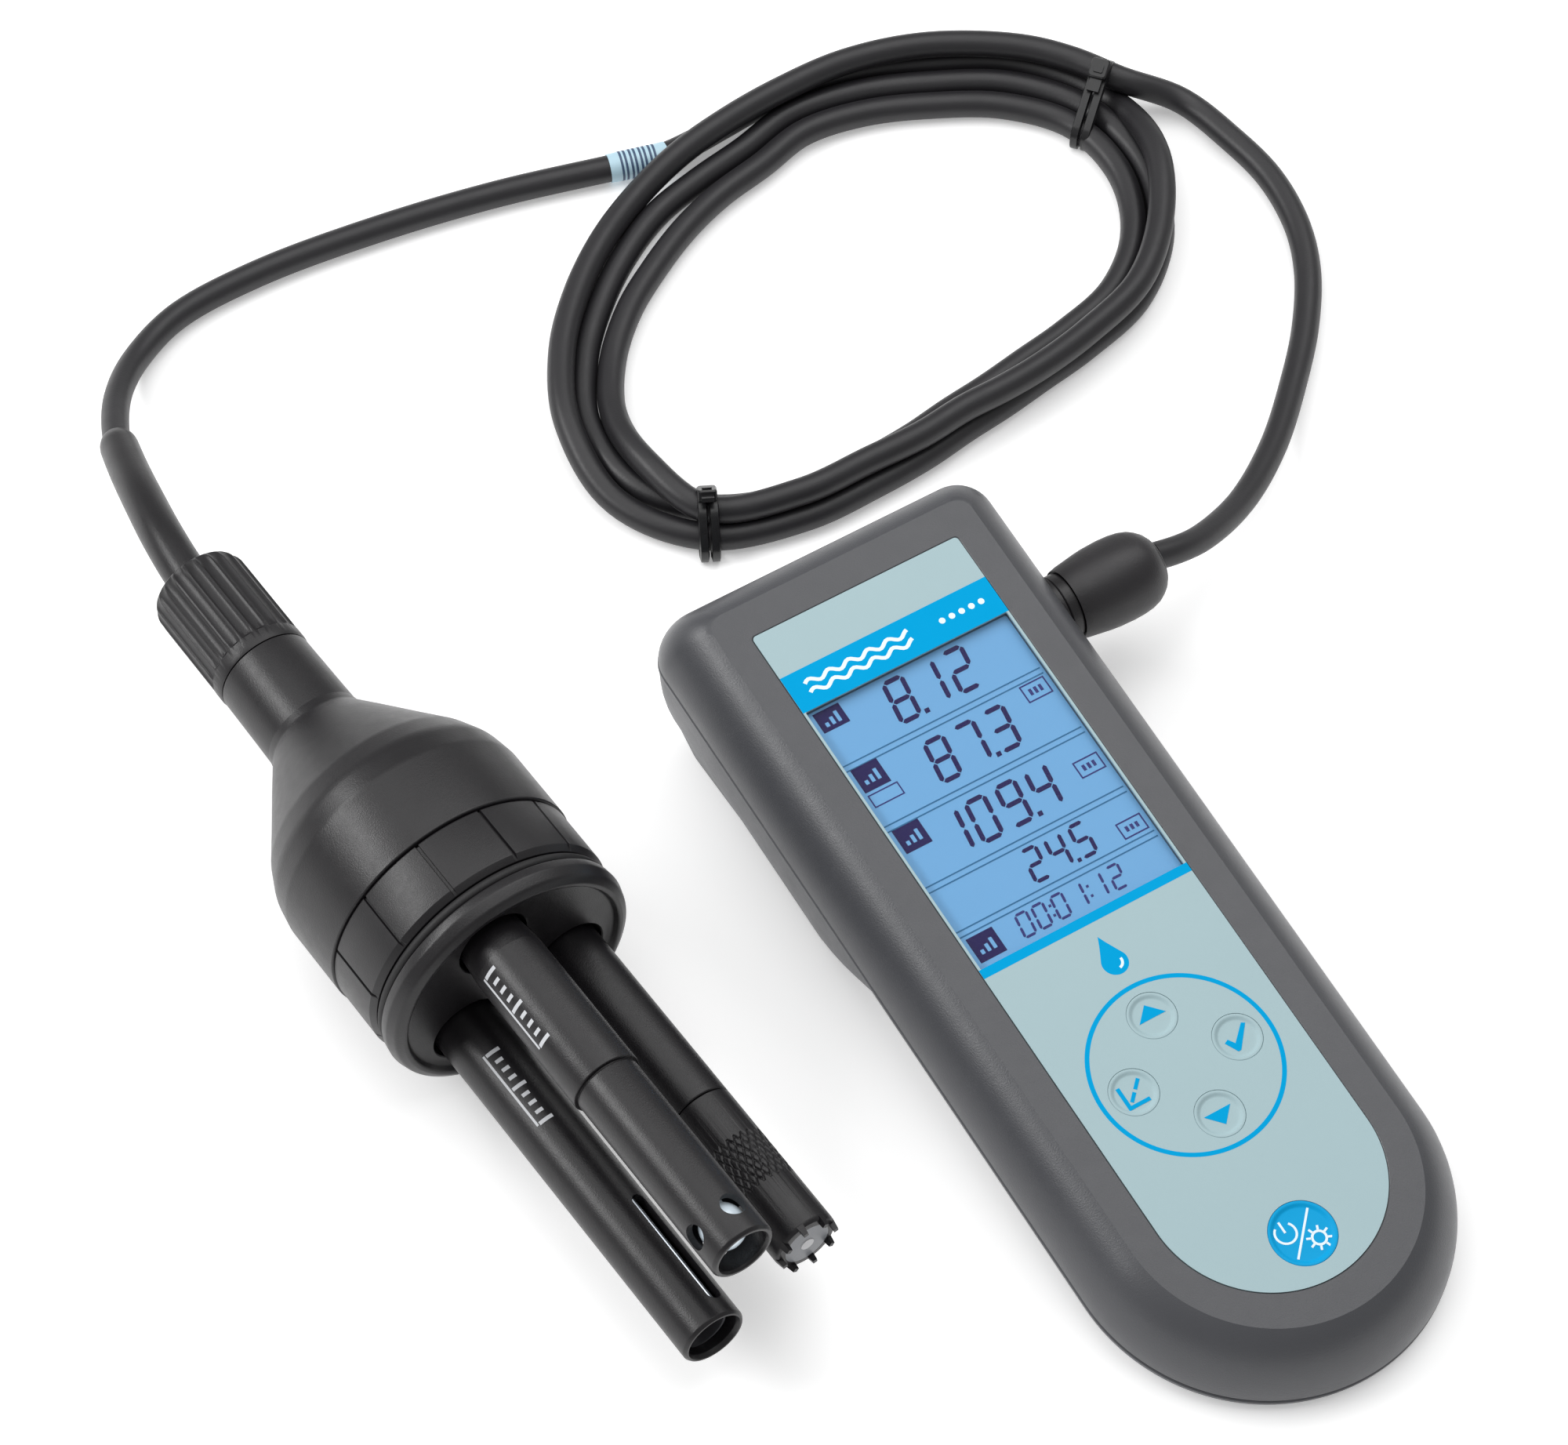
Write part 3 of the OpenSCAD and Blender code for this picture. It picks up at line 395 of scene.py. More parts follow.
def smooth_path(points, step):
    """A Catmull-Rom line through the points, resampled every step mm."""
    pts = [Vector(p) for p in points]
    dense = []
    for i in range(len(pts) - 1):
        p0 = pts[i - 1] if i else 2 * pts[0] - pts[1]
        p1, p2 = pts[i], pts[i + 1]
        p3 = pts[i + 2] if i + 2 < len(pts) else 2 * pts[-1] - pts[-2]
        t0, t1 = 0.0, (p1 - p0).length ** 0.5
        t2 = t1 + (p2 - p1).length ** 0.5
        t3 = t2 + (p3 - p2).length ** 0.5
        for k in range(24):
            t = t1 + (t2 - t1) * k / 24
            a1 = p0.lerp(p1, (t - t0) / (t1 - t0))
            a2 = p1.lerp(p2, (t - t1) / (t2 - t1))
            a3 = p2.lerp(p3, (t - t2) / (t3 - t2))
            b1 = a1.lerp(a2, (t - t0) / (t2 - t0))
            b2 = a2.lerp(a3, (t - t1) / (t3 - t1))
            dense.append(b1.lerp(b2, (t - t1) / (t2 - t1)))
    dense.append(pts[-1])
    dist = [0.0]
    for a, b in zip(dense, dense[1:]):
        dist.append(dist[-1] + (b - a).length)
    count = max(2, round(dist[-1] / step))
    out, j = [], 0
    for i in range(count + 1):
        want = dist[-1] * i / count
        while j < len(dist) - 2 and dist[j + 1] < want:
            j += 1
        span = dist[j + 1] - dist[j]
        out.append(dense[j].lerp(dense[j + 1], (want - dist[j]) / span if span else 0))
    return out, dist[-1]


def sweep(path, radii, n=28, cap=True):
    """A tube along 3D points; radii holds one radius a point."""
    rings = []
    up = Vector((0, 0, 1))
    for i, p in enumerate(path):
        d = (path[min(i + 1, len(path) - 1)] - path[max(i - 1, 0)]).normalized()
        side = d.cross(up).normalized()
        top = side.cross(d)
        rings.append([p + radii[i] * (side * cos_d(a) + top * sin_d(a)) for a in even_angles(n)])
    return loft(rings, cap=cap)


def cut(obj, shapes):
    """Cuts closed shapes, given as (shape, place), out of obj."""
    tool = Build()
    for shape, place in shapes:
        tool.add(shape, place)
    knife = tool.done("knife", obj.data.materials[0], None)
    mod = obj.modifiers.new("cut", "BOOLEAN")
    mod.operation = "DIFFERENCE"
    mod.solver = "EXACT"
    mod.object = knife
    bpy.context.view_layer.update()
    mesh = bpy.data.meshes.new_from_object(obj.evaluated_get(bpy.context.evaluated_depsgraph_get()))
    obj.modifiers.clear()
    obj.data = mesh
    mesh.polygons.foreach_set("use_smooth", [True] * len(mesh.polygons))
    mesh.set_sharp_from_angle(angle=math.radians(SHARP))
    bpy.data.objects.remove(knife)
    return obj


# ---------------------------------------------------------------- cable
CABLE_R = 2.7
COIL_AT = (94.8, 127.1)
FLOOR_Z = 2.85      # height of a strand's centre where it lies on the floor
# distance of the coil's middle line from COIL_AT, every 15 degrees
MID = [65.05, 67.6, 65.05, 59.55, 54.6, 50.3, 46.45, 45.4, 45.9, 47.45, 50.8, 55.5, 60.8, 64.1, 62.3,
       52.15, 43.35, 38.3, 35.35, 35.35, 37.45, 42.9, 51.65, 59.25]


def coil_point(deg, out, z=FLOOR_Z):
    """A point beside the coil's middle line: turn in degrees, offset along its normal, height."""
    i = round(deg / 15)
    p = [Vector((MID[k % 24] * cos_d(k * 15), MID[k % 24] * sin_d(k * 15))) for k in (i - 1, i, i + 1)]
    d = (p[2] - p[0]).normalized()
    at = p[1] + Vector((d.y, -d.x)) * out
    return (COIL_AT[0] + at.x, COIL_AT[1] + at.y, z)


ROUTE_A = [(99.9, 33.3, 21.7), (105.5, 33.4, 20), (112.5, 35.1, 17), (126.5, 41.9, 11), (141.5, 52.6, 6.5),
           (155.1, 65.2, 3.8), (165.2, 75.8, FLOOR_Z), (173.5, 87.1, FLOOR_Z), (178.5, 98.1, FLOOR_Z),
           (180.9, 111.1, FLOOR_Z), (180, 123.6, FLOOR_Z), (176.8, 137.0, 3.4), (167.3, 144.6, 7.9),
           (161.6, 154.1, 8.25)]
# the strands, one entry each 15 degrees: angle, offset from the middle line, height
TURN_1 = [(30, 4.3, 8.25), (45, 3.9, 8.25), (60, 3.2, 8.1), (75, 2.6, 7.7), (90, 3.6, 7.6), (105, 4.4, 6.6),
          (120, 5.0, 5.1), (135, 5.2, 5.5), (150, 5.1, 5.7), (165, 5.2, 6.1), (180, 5.3, 6.1),
          (195, 4.9, 3.2), (210, 3.4), (225, 3.05), (240, 2.6), (255, 2.4), (270, 2.5), (285, 2.6),
          (300, 2.7), (315, 2.8), (330, 2.9), (345, 2.7), (360, 1.5)]
TURN_2 = [(15, -0.05), (30, -1.2), (45, -1.9), (60, -1.1), (75, -0.45), (90, -1.3), (105, -0.9), (120, 0.1),
          (135, 0.5), (150, 0.5), (165, 0.9), (180, 1.1), (195, -0.8), (210, -3.4), (225, -2.4), (240, -2.8),
          (255, -3.0), (270, -2.9), (285, -2.8), (300, -2.7), (315, -2.6), (330, -2.5), (345, -2.7),
          (360, -3.9)]
TURN_3 = [(15, -5.5), (30, -7.15), (45, -7.55), (60, -6.65), (75, -5.9), (90, -6.8), (105, -6.7), (120, -6.7),
          (135, -6.25), (150, -5.35), (165, -4.55), (180, -4.0, 4.6), (195, -3.4, 7.58), (210, 0, 7.05),
          (225, 0.3, 7.5), (240, 0, 7.53), (255, 0.9, 8.04), (270, 1.5, 8.15), (285, 2.6, 8.25),
          (300, 3.4, 8.2), (315, 3.2, 8.22), (330, 2.9, 8.25), (345, 2.4, 8.2), (360, 3.3, 7.95)]
LEAVE = [(15, 4.75), (30, 4.6), (45, 3.9), (60, 4.4), (75, 5.0)]
ROUTE_B = [(94.8, 179.8, FLOOR_Z), (88.4, 179.2, FLOOR_Z), (80.5, 179.1, 3.05), (76.5, 180.1, 3.05),
           (69.5, 182.1, 3.0), (47.5, 188.1, FLOOR_Z), (22.9, 192.6, FLOOR_Z), (-2.8, 195.1, FLOOR_Z),
           (-21.3, 193.9, FLOOR_Z),
           (-33.2, 188.1, 4), (-42.3, 178.5, 8), (-49.5, 164.1, 14), (-51.9, 154.1, 18)]
ROUTE_RELIEF = [(-49.5, 164.1, 14), (-51.9, 154.1, 18), (-54.1, 143.1, 22), (-55.9, 131.5, 24.8),
                (-56.5, 121.8, 25.4), (-56.2, 117.5, 25.4)]

coil_points = [coil_point(*t) for t in TURN_1 + TURN_2 + TURN_3 + LEAVE]
cable_path, cable_length = smooth_path(ROUTE_A + coil_points + ROUTE_B, 2.0)
cable_path = [Vector((p.x, p.y, max(p.z, CABLE_R + 0.03))) for p in cable_path]
curve = bpy.data.curves.new("cable", "CURVE")
curve.dimensions = "3D"
curve.bevel_depth = CABLE_R * MM
curve.bevel_resolution = 7
curve.use_fill_caps = True
spline = curve.splines.new("POLY")
spline.points.add(len(cable_path) - 1)
for sp, p in zip(spline.points, cable_path):
    sp.co = (*(p * MM), 1)
spline.use_smooth = True
curve.materials.append(CABLE)
cable = bpy.data.objects.new("cable", curve)
bpy.context.collection.objects.link(cable)
finish_piece(cable, "cord_and_probe", ("cable_a", "coil", "cable_b"))


# ---------------------------------------------------------------- ties, label and sleeve
def tie(name, centre, heading, strands, head_turn, node):
    """A strap pulled round strands (across, up) with its lock on the outside."""
    def loop(r, low):
        pts = []
        for k in range(48):
            d = Vector((cos_d(k * 7.5), sin_d(k * 7.5)))
            far = max(strands, key=lambda c: Vector(c).dot(d))
            pts.append((far[0] + r * d.x, max(far[1] + r * d.y, low)))
        return pts

    inner, outer = loop(CABLE_R + 0.12, 0.45), loop(CABLE_R + 1.0, 0.05)
    place = move(*centre) @ turn(heading, "Z")
    b = Build()
    for mid, half in ((-1.1, 0.95), (1.1, 0.95)):
        rings = []
        for loop_pts, x in ((inner, -half), (outer, -half + 0.25), (outer, half - 0.25), (inner, half)):
            rings.append([(mid + x, p[0], p[1]) for p in loop_pts])
        b.add(loft(rings, closed=True), place)
    d = Vector((cos_d(head_turn), sin_d(head_turn)))
    far = max(strands, key=lambda c: Vector(c).dot(d))
    head_at = Vector(far) + d * (CABLE_R + 1.5)
    head = place @ move(0, head_at.x, head_at.y) @ turn(head_turn, "X")
    shell = fillet([(-1.9, -2.1), (1.9, -2.1), (1.9, 2.1), (-1.9, 2.1)], 0.6, 3, True)
    inset = [(x * 0.86, y * 0.88) for x, y in shell]
    levels = ((inset, -1.2), (shell, -0.9), (shell, 0.9), (inset, 1.2))
    rings = [[(x, h, y) for x, y in ring] for ring, h in levels]
    b.add(loft(rings), head)
    b.add(loft([[(x * 0.5, h, y * 0.42 + 0.2) for x, y in shell] for h in (1.1, 1.5)]), head)
    tail = [[(x, -0.4 + h, 1.9 + y) for x, h in rect(-1.2, 1.2, 0, 0.8)] for y in (0, 1.6, 2.9)]
    b.add(loft(tail), head)
    return b.done(name, TIE, "cord_and_probe", node, "black")


tie_a = tie("strap_low", (40, 94.7, 0), -27, [(-3.4, 2.85), (3.4, 2.85), (0, 7.05)], 52, "tie_a")
tie_b = tie("strap_high", (159, 143.1, 0), -51, [(-4.1, 2.85), (1.35, 2.85), (6.1, 2.85), (6.6, 8.0)], 112,
            "tie_b")

LABEL_X0, LABEL_X1 = 69.3, 83
label_path = []
for p in reversed(cable_path):
    if p.x > LABEL_X1:
        break
    if p.x >= LABEL_X0:
        label_path.append(p)
radii = [CABLE_R + 0.2] + [CABLE_R + 0.28] * (len(label_path) - 2) + [CABLE_R + 0.2]
b = Build().add(sweep(label_path, radii, 32))
for i in range(1, len(label_path) - 2):
    a, c = label_path[i], label_path[i + 1]
    for f in (0.1, 0.55):
        b.add(sweep([a.lerp(c, f), a.lerp(c, f + 0.24)], [CABLE_R + 0.31] * 2, 32), mat=1)
label = b.done("cable_label_sleeve", [SLEEVE, SLEEVE_INK], "cord_and_probe", "cable_label", "label")

relief_path, _ = smooth_path(ROUTE_RELIEF, 1.2)
radii = []
for i in range(len(relief_path)):
    t = i / (len(relief_path) - 1)
    r = 3.7 + 0.5 * t
    if t < 0.05:
        r -= 0.5 * (1 - t / 0.05) ** 2
    radii.append(r)
relief = Build().add(sweep(relief_path, radii, 36)).done(
    "bend_sleeve", BLACK, "cord_and_probe", "strain_relief", "black")


# ---------------------------------------------------------------- meter case
def body_outline(half, arc_y, top, corner, arc_n=72, cor_n=12):
    """The meter's outline: straight sides, round foot, rounded top corners."""
    pts = []
    for i in range(arc_n + 1):
        a = 180 + 180 * i / arc_n
        pts.append((half * cos_d(a), arc_y + half * sin_d(a)))
    for k in range(6):
        pts.append((half, arc_y + (top - corner - arc_y) * (k + 1) / 7))
    for cx, a0 in ((half - corner, 0), (-half + corner, 90)):
        for k in range(cor_n + 1):
            a = a0 + 90 * k / cor_n
            pts.append((cx + corner * cos_d(a), top - corner + corner * sin_d(a)))
    for k in range(6):
        pts.append((-half, top - corner - (top - corner - arc_y) * (k + 1) / 7))
    return pts


def meter_outline(inset):
    return body_outline(35.5 - inset, -25.5, 125 - inset, 7.6 - 0.6 * inset)


def at_height(outline, h):
    return [(x, y, h) for x, y in outline]


KEYS = {"up": (0, 10.9), "check": (10.9, 0), "return": (-10.9, 0), "down": (0, -10.9)}
KEY_R, POWER_R, POWER_Y = 4.6, 6.2, -37


def key_holes(gap):
    """The five openings, gap mm wider all round than the keys."""
    return [circle(x, y, KEY_R + gap) for x, y in KEYS.values()] + [circle(0, POWER_Y, POWER_R + gap, 64)]


film_edge = body_outline(22.1, -24.5, 110.5, 0.9)
rings = [at_height(meter_outline(2.2), -13.95), at_height(meter_outline(0.3), -13.95),
         at_height(meter_outline(0), -13.6)]
# the case's side curves in from the parting line to the bezel, as an ellipse's arc that stops at LAST_TURN
LAST_TURN, SIDE_IN, SIDE_H, SIDE_N = 20, 7.7, 13.7, 14
for k in range(1, SIDE_N + 1):
    t = 90 - (90 - LAST_TURN) * k / SIDE_N
    inset = SIDE_IN * (1 - sin_d(t)) / (1 - sin_d(LAST_TURN))
    rings.append(at_height(meter_outline(inset), -SIDE_H * (cos_d(LAST_TURN) - cos_d(t)) / cos_d(LAST_TURN)))
rings[-1] = at_height(meter_outline(SIDE_IN), 0)
rings.append(at_height(meter_outline(7.95), 0.0))
for f in (0.35, 0.7):
    a, bb = meter_outline(7.95), film_edge
    rings.append([((1 - f) * p[0] + f * q[0], (1 - f) * p[1] + f * q[1], 0) for p, q in zip(a, bb)])
rings.append(at_height(body_outline(22.25, -24.5, 110.65, 1.0), 0))
rings.append(at_height(film_edge, -0.12))
rings.append(at_height(film_edge, -0.5))
b = Build().add(loft(rings, cap=False), METER)
b.add(plate(film_edge, -1.6, -0.55, [rounded_box(-21.6, 21.6, 33.0, 92.6, 0.4)] + key_holes(0.15)), METER)
b.done("case_top", GREY, "meter", "top_shell", "case", 26)

# lower shell: handle floor and the raised back, as two closed pieces that meet
handle = []
for inset, h in ((2.2, -14.35), (0.25, -14.35), (0, -14.6), (0.0, -15.2), (0.25, -15.9), (0.75, -16.45),
                 (1.5, -16.9), (2.6, -17.2), (3.8, -17.35), (5, -17.4)):
    handle.append(at_height(meter_outline(inset), h))


def hump(half, y0, y1, r_low, r_top, n=10):
    """The raised back's outline: wide round corners at the handle side, tighter ones at the display end."""
    pts = []
    for cx, cy, r, a0 in ((half - r_top, y1 - r_top, r_top, 0), (-half + r_top, y1 - r_top, r_top, 90),
                          (-half + r_low, y0 + r_low, r_low, 180), (half - r_low, y0 + r_low, r_low, 270)):
        for k in range(n + 1):
            a = a0 + 90 * k / n
            pts.append((cx + r * cos_d(a), cy + r * sin_d(a)))
    return pts


# half width, two ends, two corner radii and height; the last three rings lie level with the floor
HUMP_TILTED = ((35.3, 33, 124.8, 12, 7.5, -14.7), (35.2, 37, 124.6, 12, 7.5, -17.5),
               (35.0, 41, 124.3, 12, 7.5, -20.3), (34.7, 45, 123.9, 12, 7.5, -23.1),
               (34.2, 49, 123.4, 12, 7.5, -25.9), (33.5, 53, 122.7, 11, 7.3, -28.6),
               (32.6, 57, 121.8, 10, 7, -31.0))
HUMP_LEVEL = ((31.4, 60, 120.6, 8.5, 6.6, 2.2), (30.2, 61.6, 119.6, 7.5, 6.2, 0.7),
              (28.4, 63.2, 118.6, 6.5, 6, 0.0))
rings = []
for frame_at, table in ((METER, HUMP_TILTED), (LEVEL, HUMP_LEVEL)):
    for half, y0, y1, low, top, h in table:
        rings.append([frame_at @ Vector((x, y, h)) for x, y in hump(half, y0, y1, low, top)])
Build().add(loft(handle), METER).done("case_handle", GREY_LOW, "meter", None, "case", 30)
bottom_shell = Build().add(loft(rings)).done("case_back", GREY_LOW, None, sharp=30)


def block(x0, x1, y0, y1, z0, z1):
    return loft([at_height(rect(x0, x1, y0, y1), z) for z in (z0, z1)])


# the door's track, open at the display end, and the room for the battery tray above it
DOOR_Y0, DOOR_Y1 = 68.0, 148
cut(bottom_shell, [(block(-18.05, 18.05, DOOR_Y0, DOOR_Y1, -1, 2.1), LEVEL)])
cut(bottom_shell, [(block(-19.45, 19.45, DOOR_Y0, DOOR_Y1, 1, 2.06), LEVEL)])
lo, hi = [[v / MM for v in corner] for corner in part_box("battery_tray")]
cut(bottom_shell, [(block(lo[0] - 0.1, hi[0] + 0.1, lo[1] - 0.1, hi[1] + 0.1, 1.0, hi[2] + 0.1), Matrix())])
finish_piece(bottom_shell, "meter", "bottom_shell")

# ---------------------------------------------------------------- seam and film
b = Build().add(plate(meter_outline(0.45), -14.4, -13.9, [meter_outline(1.9)]), METER)
b.done("seam_strip", SEAM, "meter", "case_seal", "rubber")

FILM_HALF = 21.97
film_holes = [rounded_box(-21.5, 21.5, 33.2, 92.5, 0.3)] + key_holes(0.03)
film_shape = body_outline(FILM_HALF, -24.5, 110.4, 0.8)
b = Build().add(plate(film_shape, -0.5, 0, film_holes), METER)
UP0, UP1 = -0.03, 0.015     # the print's lower and upper face
b.add(plate(rect(-FILM_HALF, FILM_HALF, 92.5, 100.65), UP0, UP1), METER, 1)
b.add(plate(rect(-FILM_HALF, FILM_HALF, 31.45, 33.3), UP0, UP1), METER, 1)
b.add(plate(circle(0, 0, 17.8, 128), UP0, UP1, [circle(0, 0, 16.95, 128)]), METER, 1)
drop = [(2.5 * cos_d(a), 22.9 + 2.5 * sin_d(a)) for a in range(-205, 26, 7)]
drop += [(1.55, 25.3), (0.7, 27.0), (0, 28.6), (-0.7, 27.0), (-1.55, 25.3)]
b.add(plate(drop, UP0, UP1), METER, 1)
glint = [(1.35 * cos_d(a), 22.9 + 1.35 * sin_d(a)) for a in range(-80, 11, 10)]
b.add(stroke(glint, 0.5, UP0, UP1 + 0.01), METER, 2)
for row in range(2):
    wave = [(-18.5 + 0.5 * i, 95.6 + 2.0 * row + 0.55 * math.sin(i * 0.5 * TAU / 4.2)) for i in range(45)]
    b.add(stroke(wave, 0.75, UP0, UP1 + 0.01), METER, 2)
for i in range(5):
    b.add(plate(circle(10.2 + 2.1 * i, 96.6, 0.62, 24), UP0, UP1 + 0.01), METER, 2)
b.done("overlay_sheet", [FILM, CYAN, WHITE], "meter", "overlay", "film")


# ---------------------------------------------------------------- keys
def key(name, x, y, r, base, mats, icons):
    """A press dish: its rim level with the film, its floor a little lower, its icon printed."""
    depth = 0.42
    prof = [(r - 0.02, -2.4), (r - 0.02, -0.12), (r - 0.12, -0.02), (r - 0.35, -0.01)]
    for k in range(1, 8):
        t = k / 8
        prof.append((r - 0.35 - 0.95 * t, -0.01 - depth * (1 - math.cos(math.pi * t)) / 2))
    prof += [(r - 1.35, -depth - 0.01), (r * 0.5, -depth), (0, -depth + 0.02)]
    b = Build().add(revolve(prof, 72), METER @ move(x, y))
    lift = -depth + 0.03
    for shape, m in icons(lift):
        b.add(shape, METER, m)
    return b.done(name, mats, base, base, "film" if r < 5 else "key_blue")


def icon_up(z):
    return [(plate([(-2.75, 10.55), (2.75, 10.55), (0, 13.4)], z - 0.05, z + PRINT_LIFT), 1)]


def icon_down(z):
    return [(plate([(-2.75, -10.05), (2.75, -10.05), (0, -13.0)], z - 0.05, z + PRINT_LIFT), 1)]


def icon_check(z):
    tick = [(8.35, 0.1), (9.2, 0.5), (10.05, -0.75), (13.1, 2.15), (13.75, 1.75), (10.25, -2.35),
            (9.65, -2.35)]
    return [(plate(tick, z - 0.05, z + PRINT_LIFT), 1)]


def icon_return(z):
    corner = [(-13.35, 2.1), (-12.6, 2.1), (-12.6, -1.85), (-8.85, -1.85), (-8.85, -2.6), (-13.35, -2.6)]
    out = [(plate(corner, z - 0.05, z + PRINT_LIFT), 1)]
    for a, c in ((0.0, 0.42), (0.54, 1.0)):
        p = [(-12.1 + 3.4 * t, -1.35 + 3.4 * t) for t in (a, c)]
        out.append((stroke(p, 0.7, z - 0.05, z + PRINT_LIFT), 1))
    return out


def icon_power(z):
    z0, z1 = z - 0.05, z + PRINT_LIFT
    cx, cy = -2.5, -35.45
    arc = [(cx + 1.95 * cos_d(a), cy + 1.95 * sin_d(a)) for a in range(128, 413, 12)]
    out = [(stroke(arc, 0.42, z0, z1), 1), (stroke([(cx, cy + 0.1), (cx, cy + 2.35)], 0.42, z0, z1), 1)]
    out.append((stroke([(-3.3, -40.6), (3.5, -33.3)], 0.42, z0, z1), 1))
    gx, gy = 2.2, -39.0
    out.append((plate(circle(gx, gy, 1.5, 40), z0, z1, [circle(gx, gy, 1.05, 40)]), 1))
    for k in range(8):
        a = 22.5 + 45 * k
        ray = [(gx + q * cos_d(a), gy + q * sin_d(a)) for q in (1.45, 2.35)]
        out.append((stroke(ray, 0.42, z0, z1), 1))
    return out


for tag, icons in (("up", icon_up), ("check", icon_check), ("return", icon_return), ("down", icon_down)):
    key("button_" + tag, *KEYS[tag], KEY_R, "key_" + tag, [FILM, CYAN], icons)
key("button_power", 0, POWER_Y, POWER_R, "key_power", [CYAN_KEY, WHITE], icon_power)


# ---------------------------------------------------------------- display
DIGITS = {"0": "abcdef", "1": "bc", "2": "abged", "3": "abgcd", "4": "fgbc", "5": "afgcd",
          "6": "afgecd", "7": "abc", "8": "abcdefg", "9": "abcdfg"}
SLANT = 0.125
INK0, INK1 = -1.62, -1.55
FACE, INK, LINE, FRAME, SMALL = range(5)    # the display's materials, in the order of its list


def digit(ch, x, y, w, h, t):
    """A seven-segment figure; t is the thickness of its bars."""
    g = 0.09 * t + 0.06
    mid, polys = h / 2, []

    def bar(yc):
        return [(t / 2 + g, yc), (t + g, yc + t / 2), (w - t - g, yc + t / 2), (w - t / 2 - g, yc),
                (w - t - g, yc - t / 2), (t + g, yc - t / 2)]

    def post(xc, y0, y1):
        return [(xc, y0 + g), (xc + t / 2, y0 + t / 2 + g), (xc + t / 2, y1 - t / 2 - g), (xc, y1 - g),
                (xc - t / 2, y1 - t / 2 - g), (xc - t / 2, y0 + t / 2 + g)]

    parts = {"a": bar(h - t / 2), "g": bar(mid), "d": bar(t / 2), "b": post(w - t / 2, mid, h - t / 2),
             "c": post(w - t / 2, t / 2, mid), "f": post(t / 2, mid, h - t / 2), "e": post(t / 2, t / 2, mid)}
    for s in DIGITS[ch]:
        polys.append([(x + px + SLANT * py, y + py) for px, py in parts[s]])
    return polys


lcd = Build().add(plate(rounded_box(-21.8, 21.8, 32.6, 93.0, 0.4), -3.6, -1.6), METER, FACE)


def show(polys, mat=INK):
    for p in polys:
        lcd.add(plate(p, INK0, INK1), METER, mat)


def box_frame(x0, x1, y0, y1, t, mat):
    lcd.add(plate(rect(x0, x1, y0, y1), INK0, INK1, [rect(x0 + t, x1 - t, y0 + t, y1 - t)]), METER, mat)


def dot(x, y, s, mat=INK):
    shape = [(x, y), (x + s, y), (x + s * (1 + SLANT), y + s), (x + s * SLANT, y + s)]
    lcd.add(plate(shape, INK0, INK1), METER, mat)


BIG_W, BIG_T = 4.7, 0.92
for text, y, h, xs, point in (("812", 82.35, 9.35, (-7.25, -0.85, 5.5), -2.0),
                              ("873", 68.45, 9.2, (-7.25, -0.85, 5.5), 4.55),
                              ("1094", 54.55, 9.15, (-13.3, -7.25, -0.85, 5.5), 4.55)):
    for ch, x in zip(text, xs):
        show(digit(ch, x, y, BIG_W, h, BIG_T))
    dot(point, y, 0.95)
for ch, x in zip("245", (-3.4, 1.5, 6.6)):
    show(digit(ch, x, 43.3, 3.6, 7.15, 0.74))
dot(5.75, 43.3, 0.75)
SMALL_Y = 35.05
for ch, x in zip("000112", (-10.9, -7.45, -3.45, 0.35, 4.55, 8.45)):
    show(digit(ch, x, SMALL_Y, 2.75, 5.1, 0.5), SMALL)
for x in (-4.15, 3.8):
    for y in (36.3, 38.3):
        dot(x + SLANT * (y - SMALL_Y), y, 0.5, SMALL)
for y in (80.35, 66.35, 52.4, 42.15):
    for dy in (0, -1.2):
        lcd.add(plate(rect(-20.9, 21.1, y + dy - 0.13, y + dy + 0.13), INK0, INK1), METER, LINE)
for y0, y1 in ((87.8, 92.1), (73.8, 79.1), (59.8, 65.0), (34.9, 40.2)):
    lcd.add(plate(rect(-20.2, -14.75, y0, y1), INK0, INK1), METER, INK)
    foot = (y0 + y1) / 2 - 1.3
    for k in range(3):
        bar = rect(-19.1 + 1.25 * k, -18.4 + 1.25 * k, foot, foot + 0.9 + 0.7 * k)
        lcd.add(plate(bar, INK0, INK1 + 0.01), METER, FACE)
for y0, y1 in ((74.95, 78.7), (57.2, 60.8), (43.0, 46.5)):
    box_frame(15.5, 20.7, y0, y1, 0.28, FRAME)
    for k in range(3):
        bar = rect(16.7 + 1.05 * k, 17.3 + 1.05 * k, y0 + 1.2, y1 - 1.2)
        lcd.add(plate(bar, INK0, INK1), METER, FRAME)
box_frame(-20.2, -13.9, 70.4, 73.2, 0.25, FRAME)
lcd.done("display_face", [LCD, LCD_INK, LCD_LINE, LCD_SMALL, LCD_SMALL], "meter", "lcd_glass", "display")
Build().add(plate(rounded_box(-21.55, 21.55, 33.05, 92.55, 0.4), -1.5, -0.53), METER).done(
    "display_window", WINDOW, "meter", "window", "window")

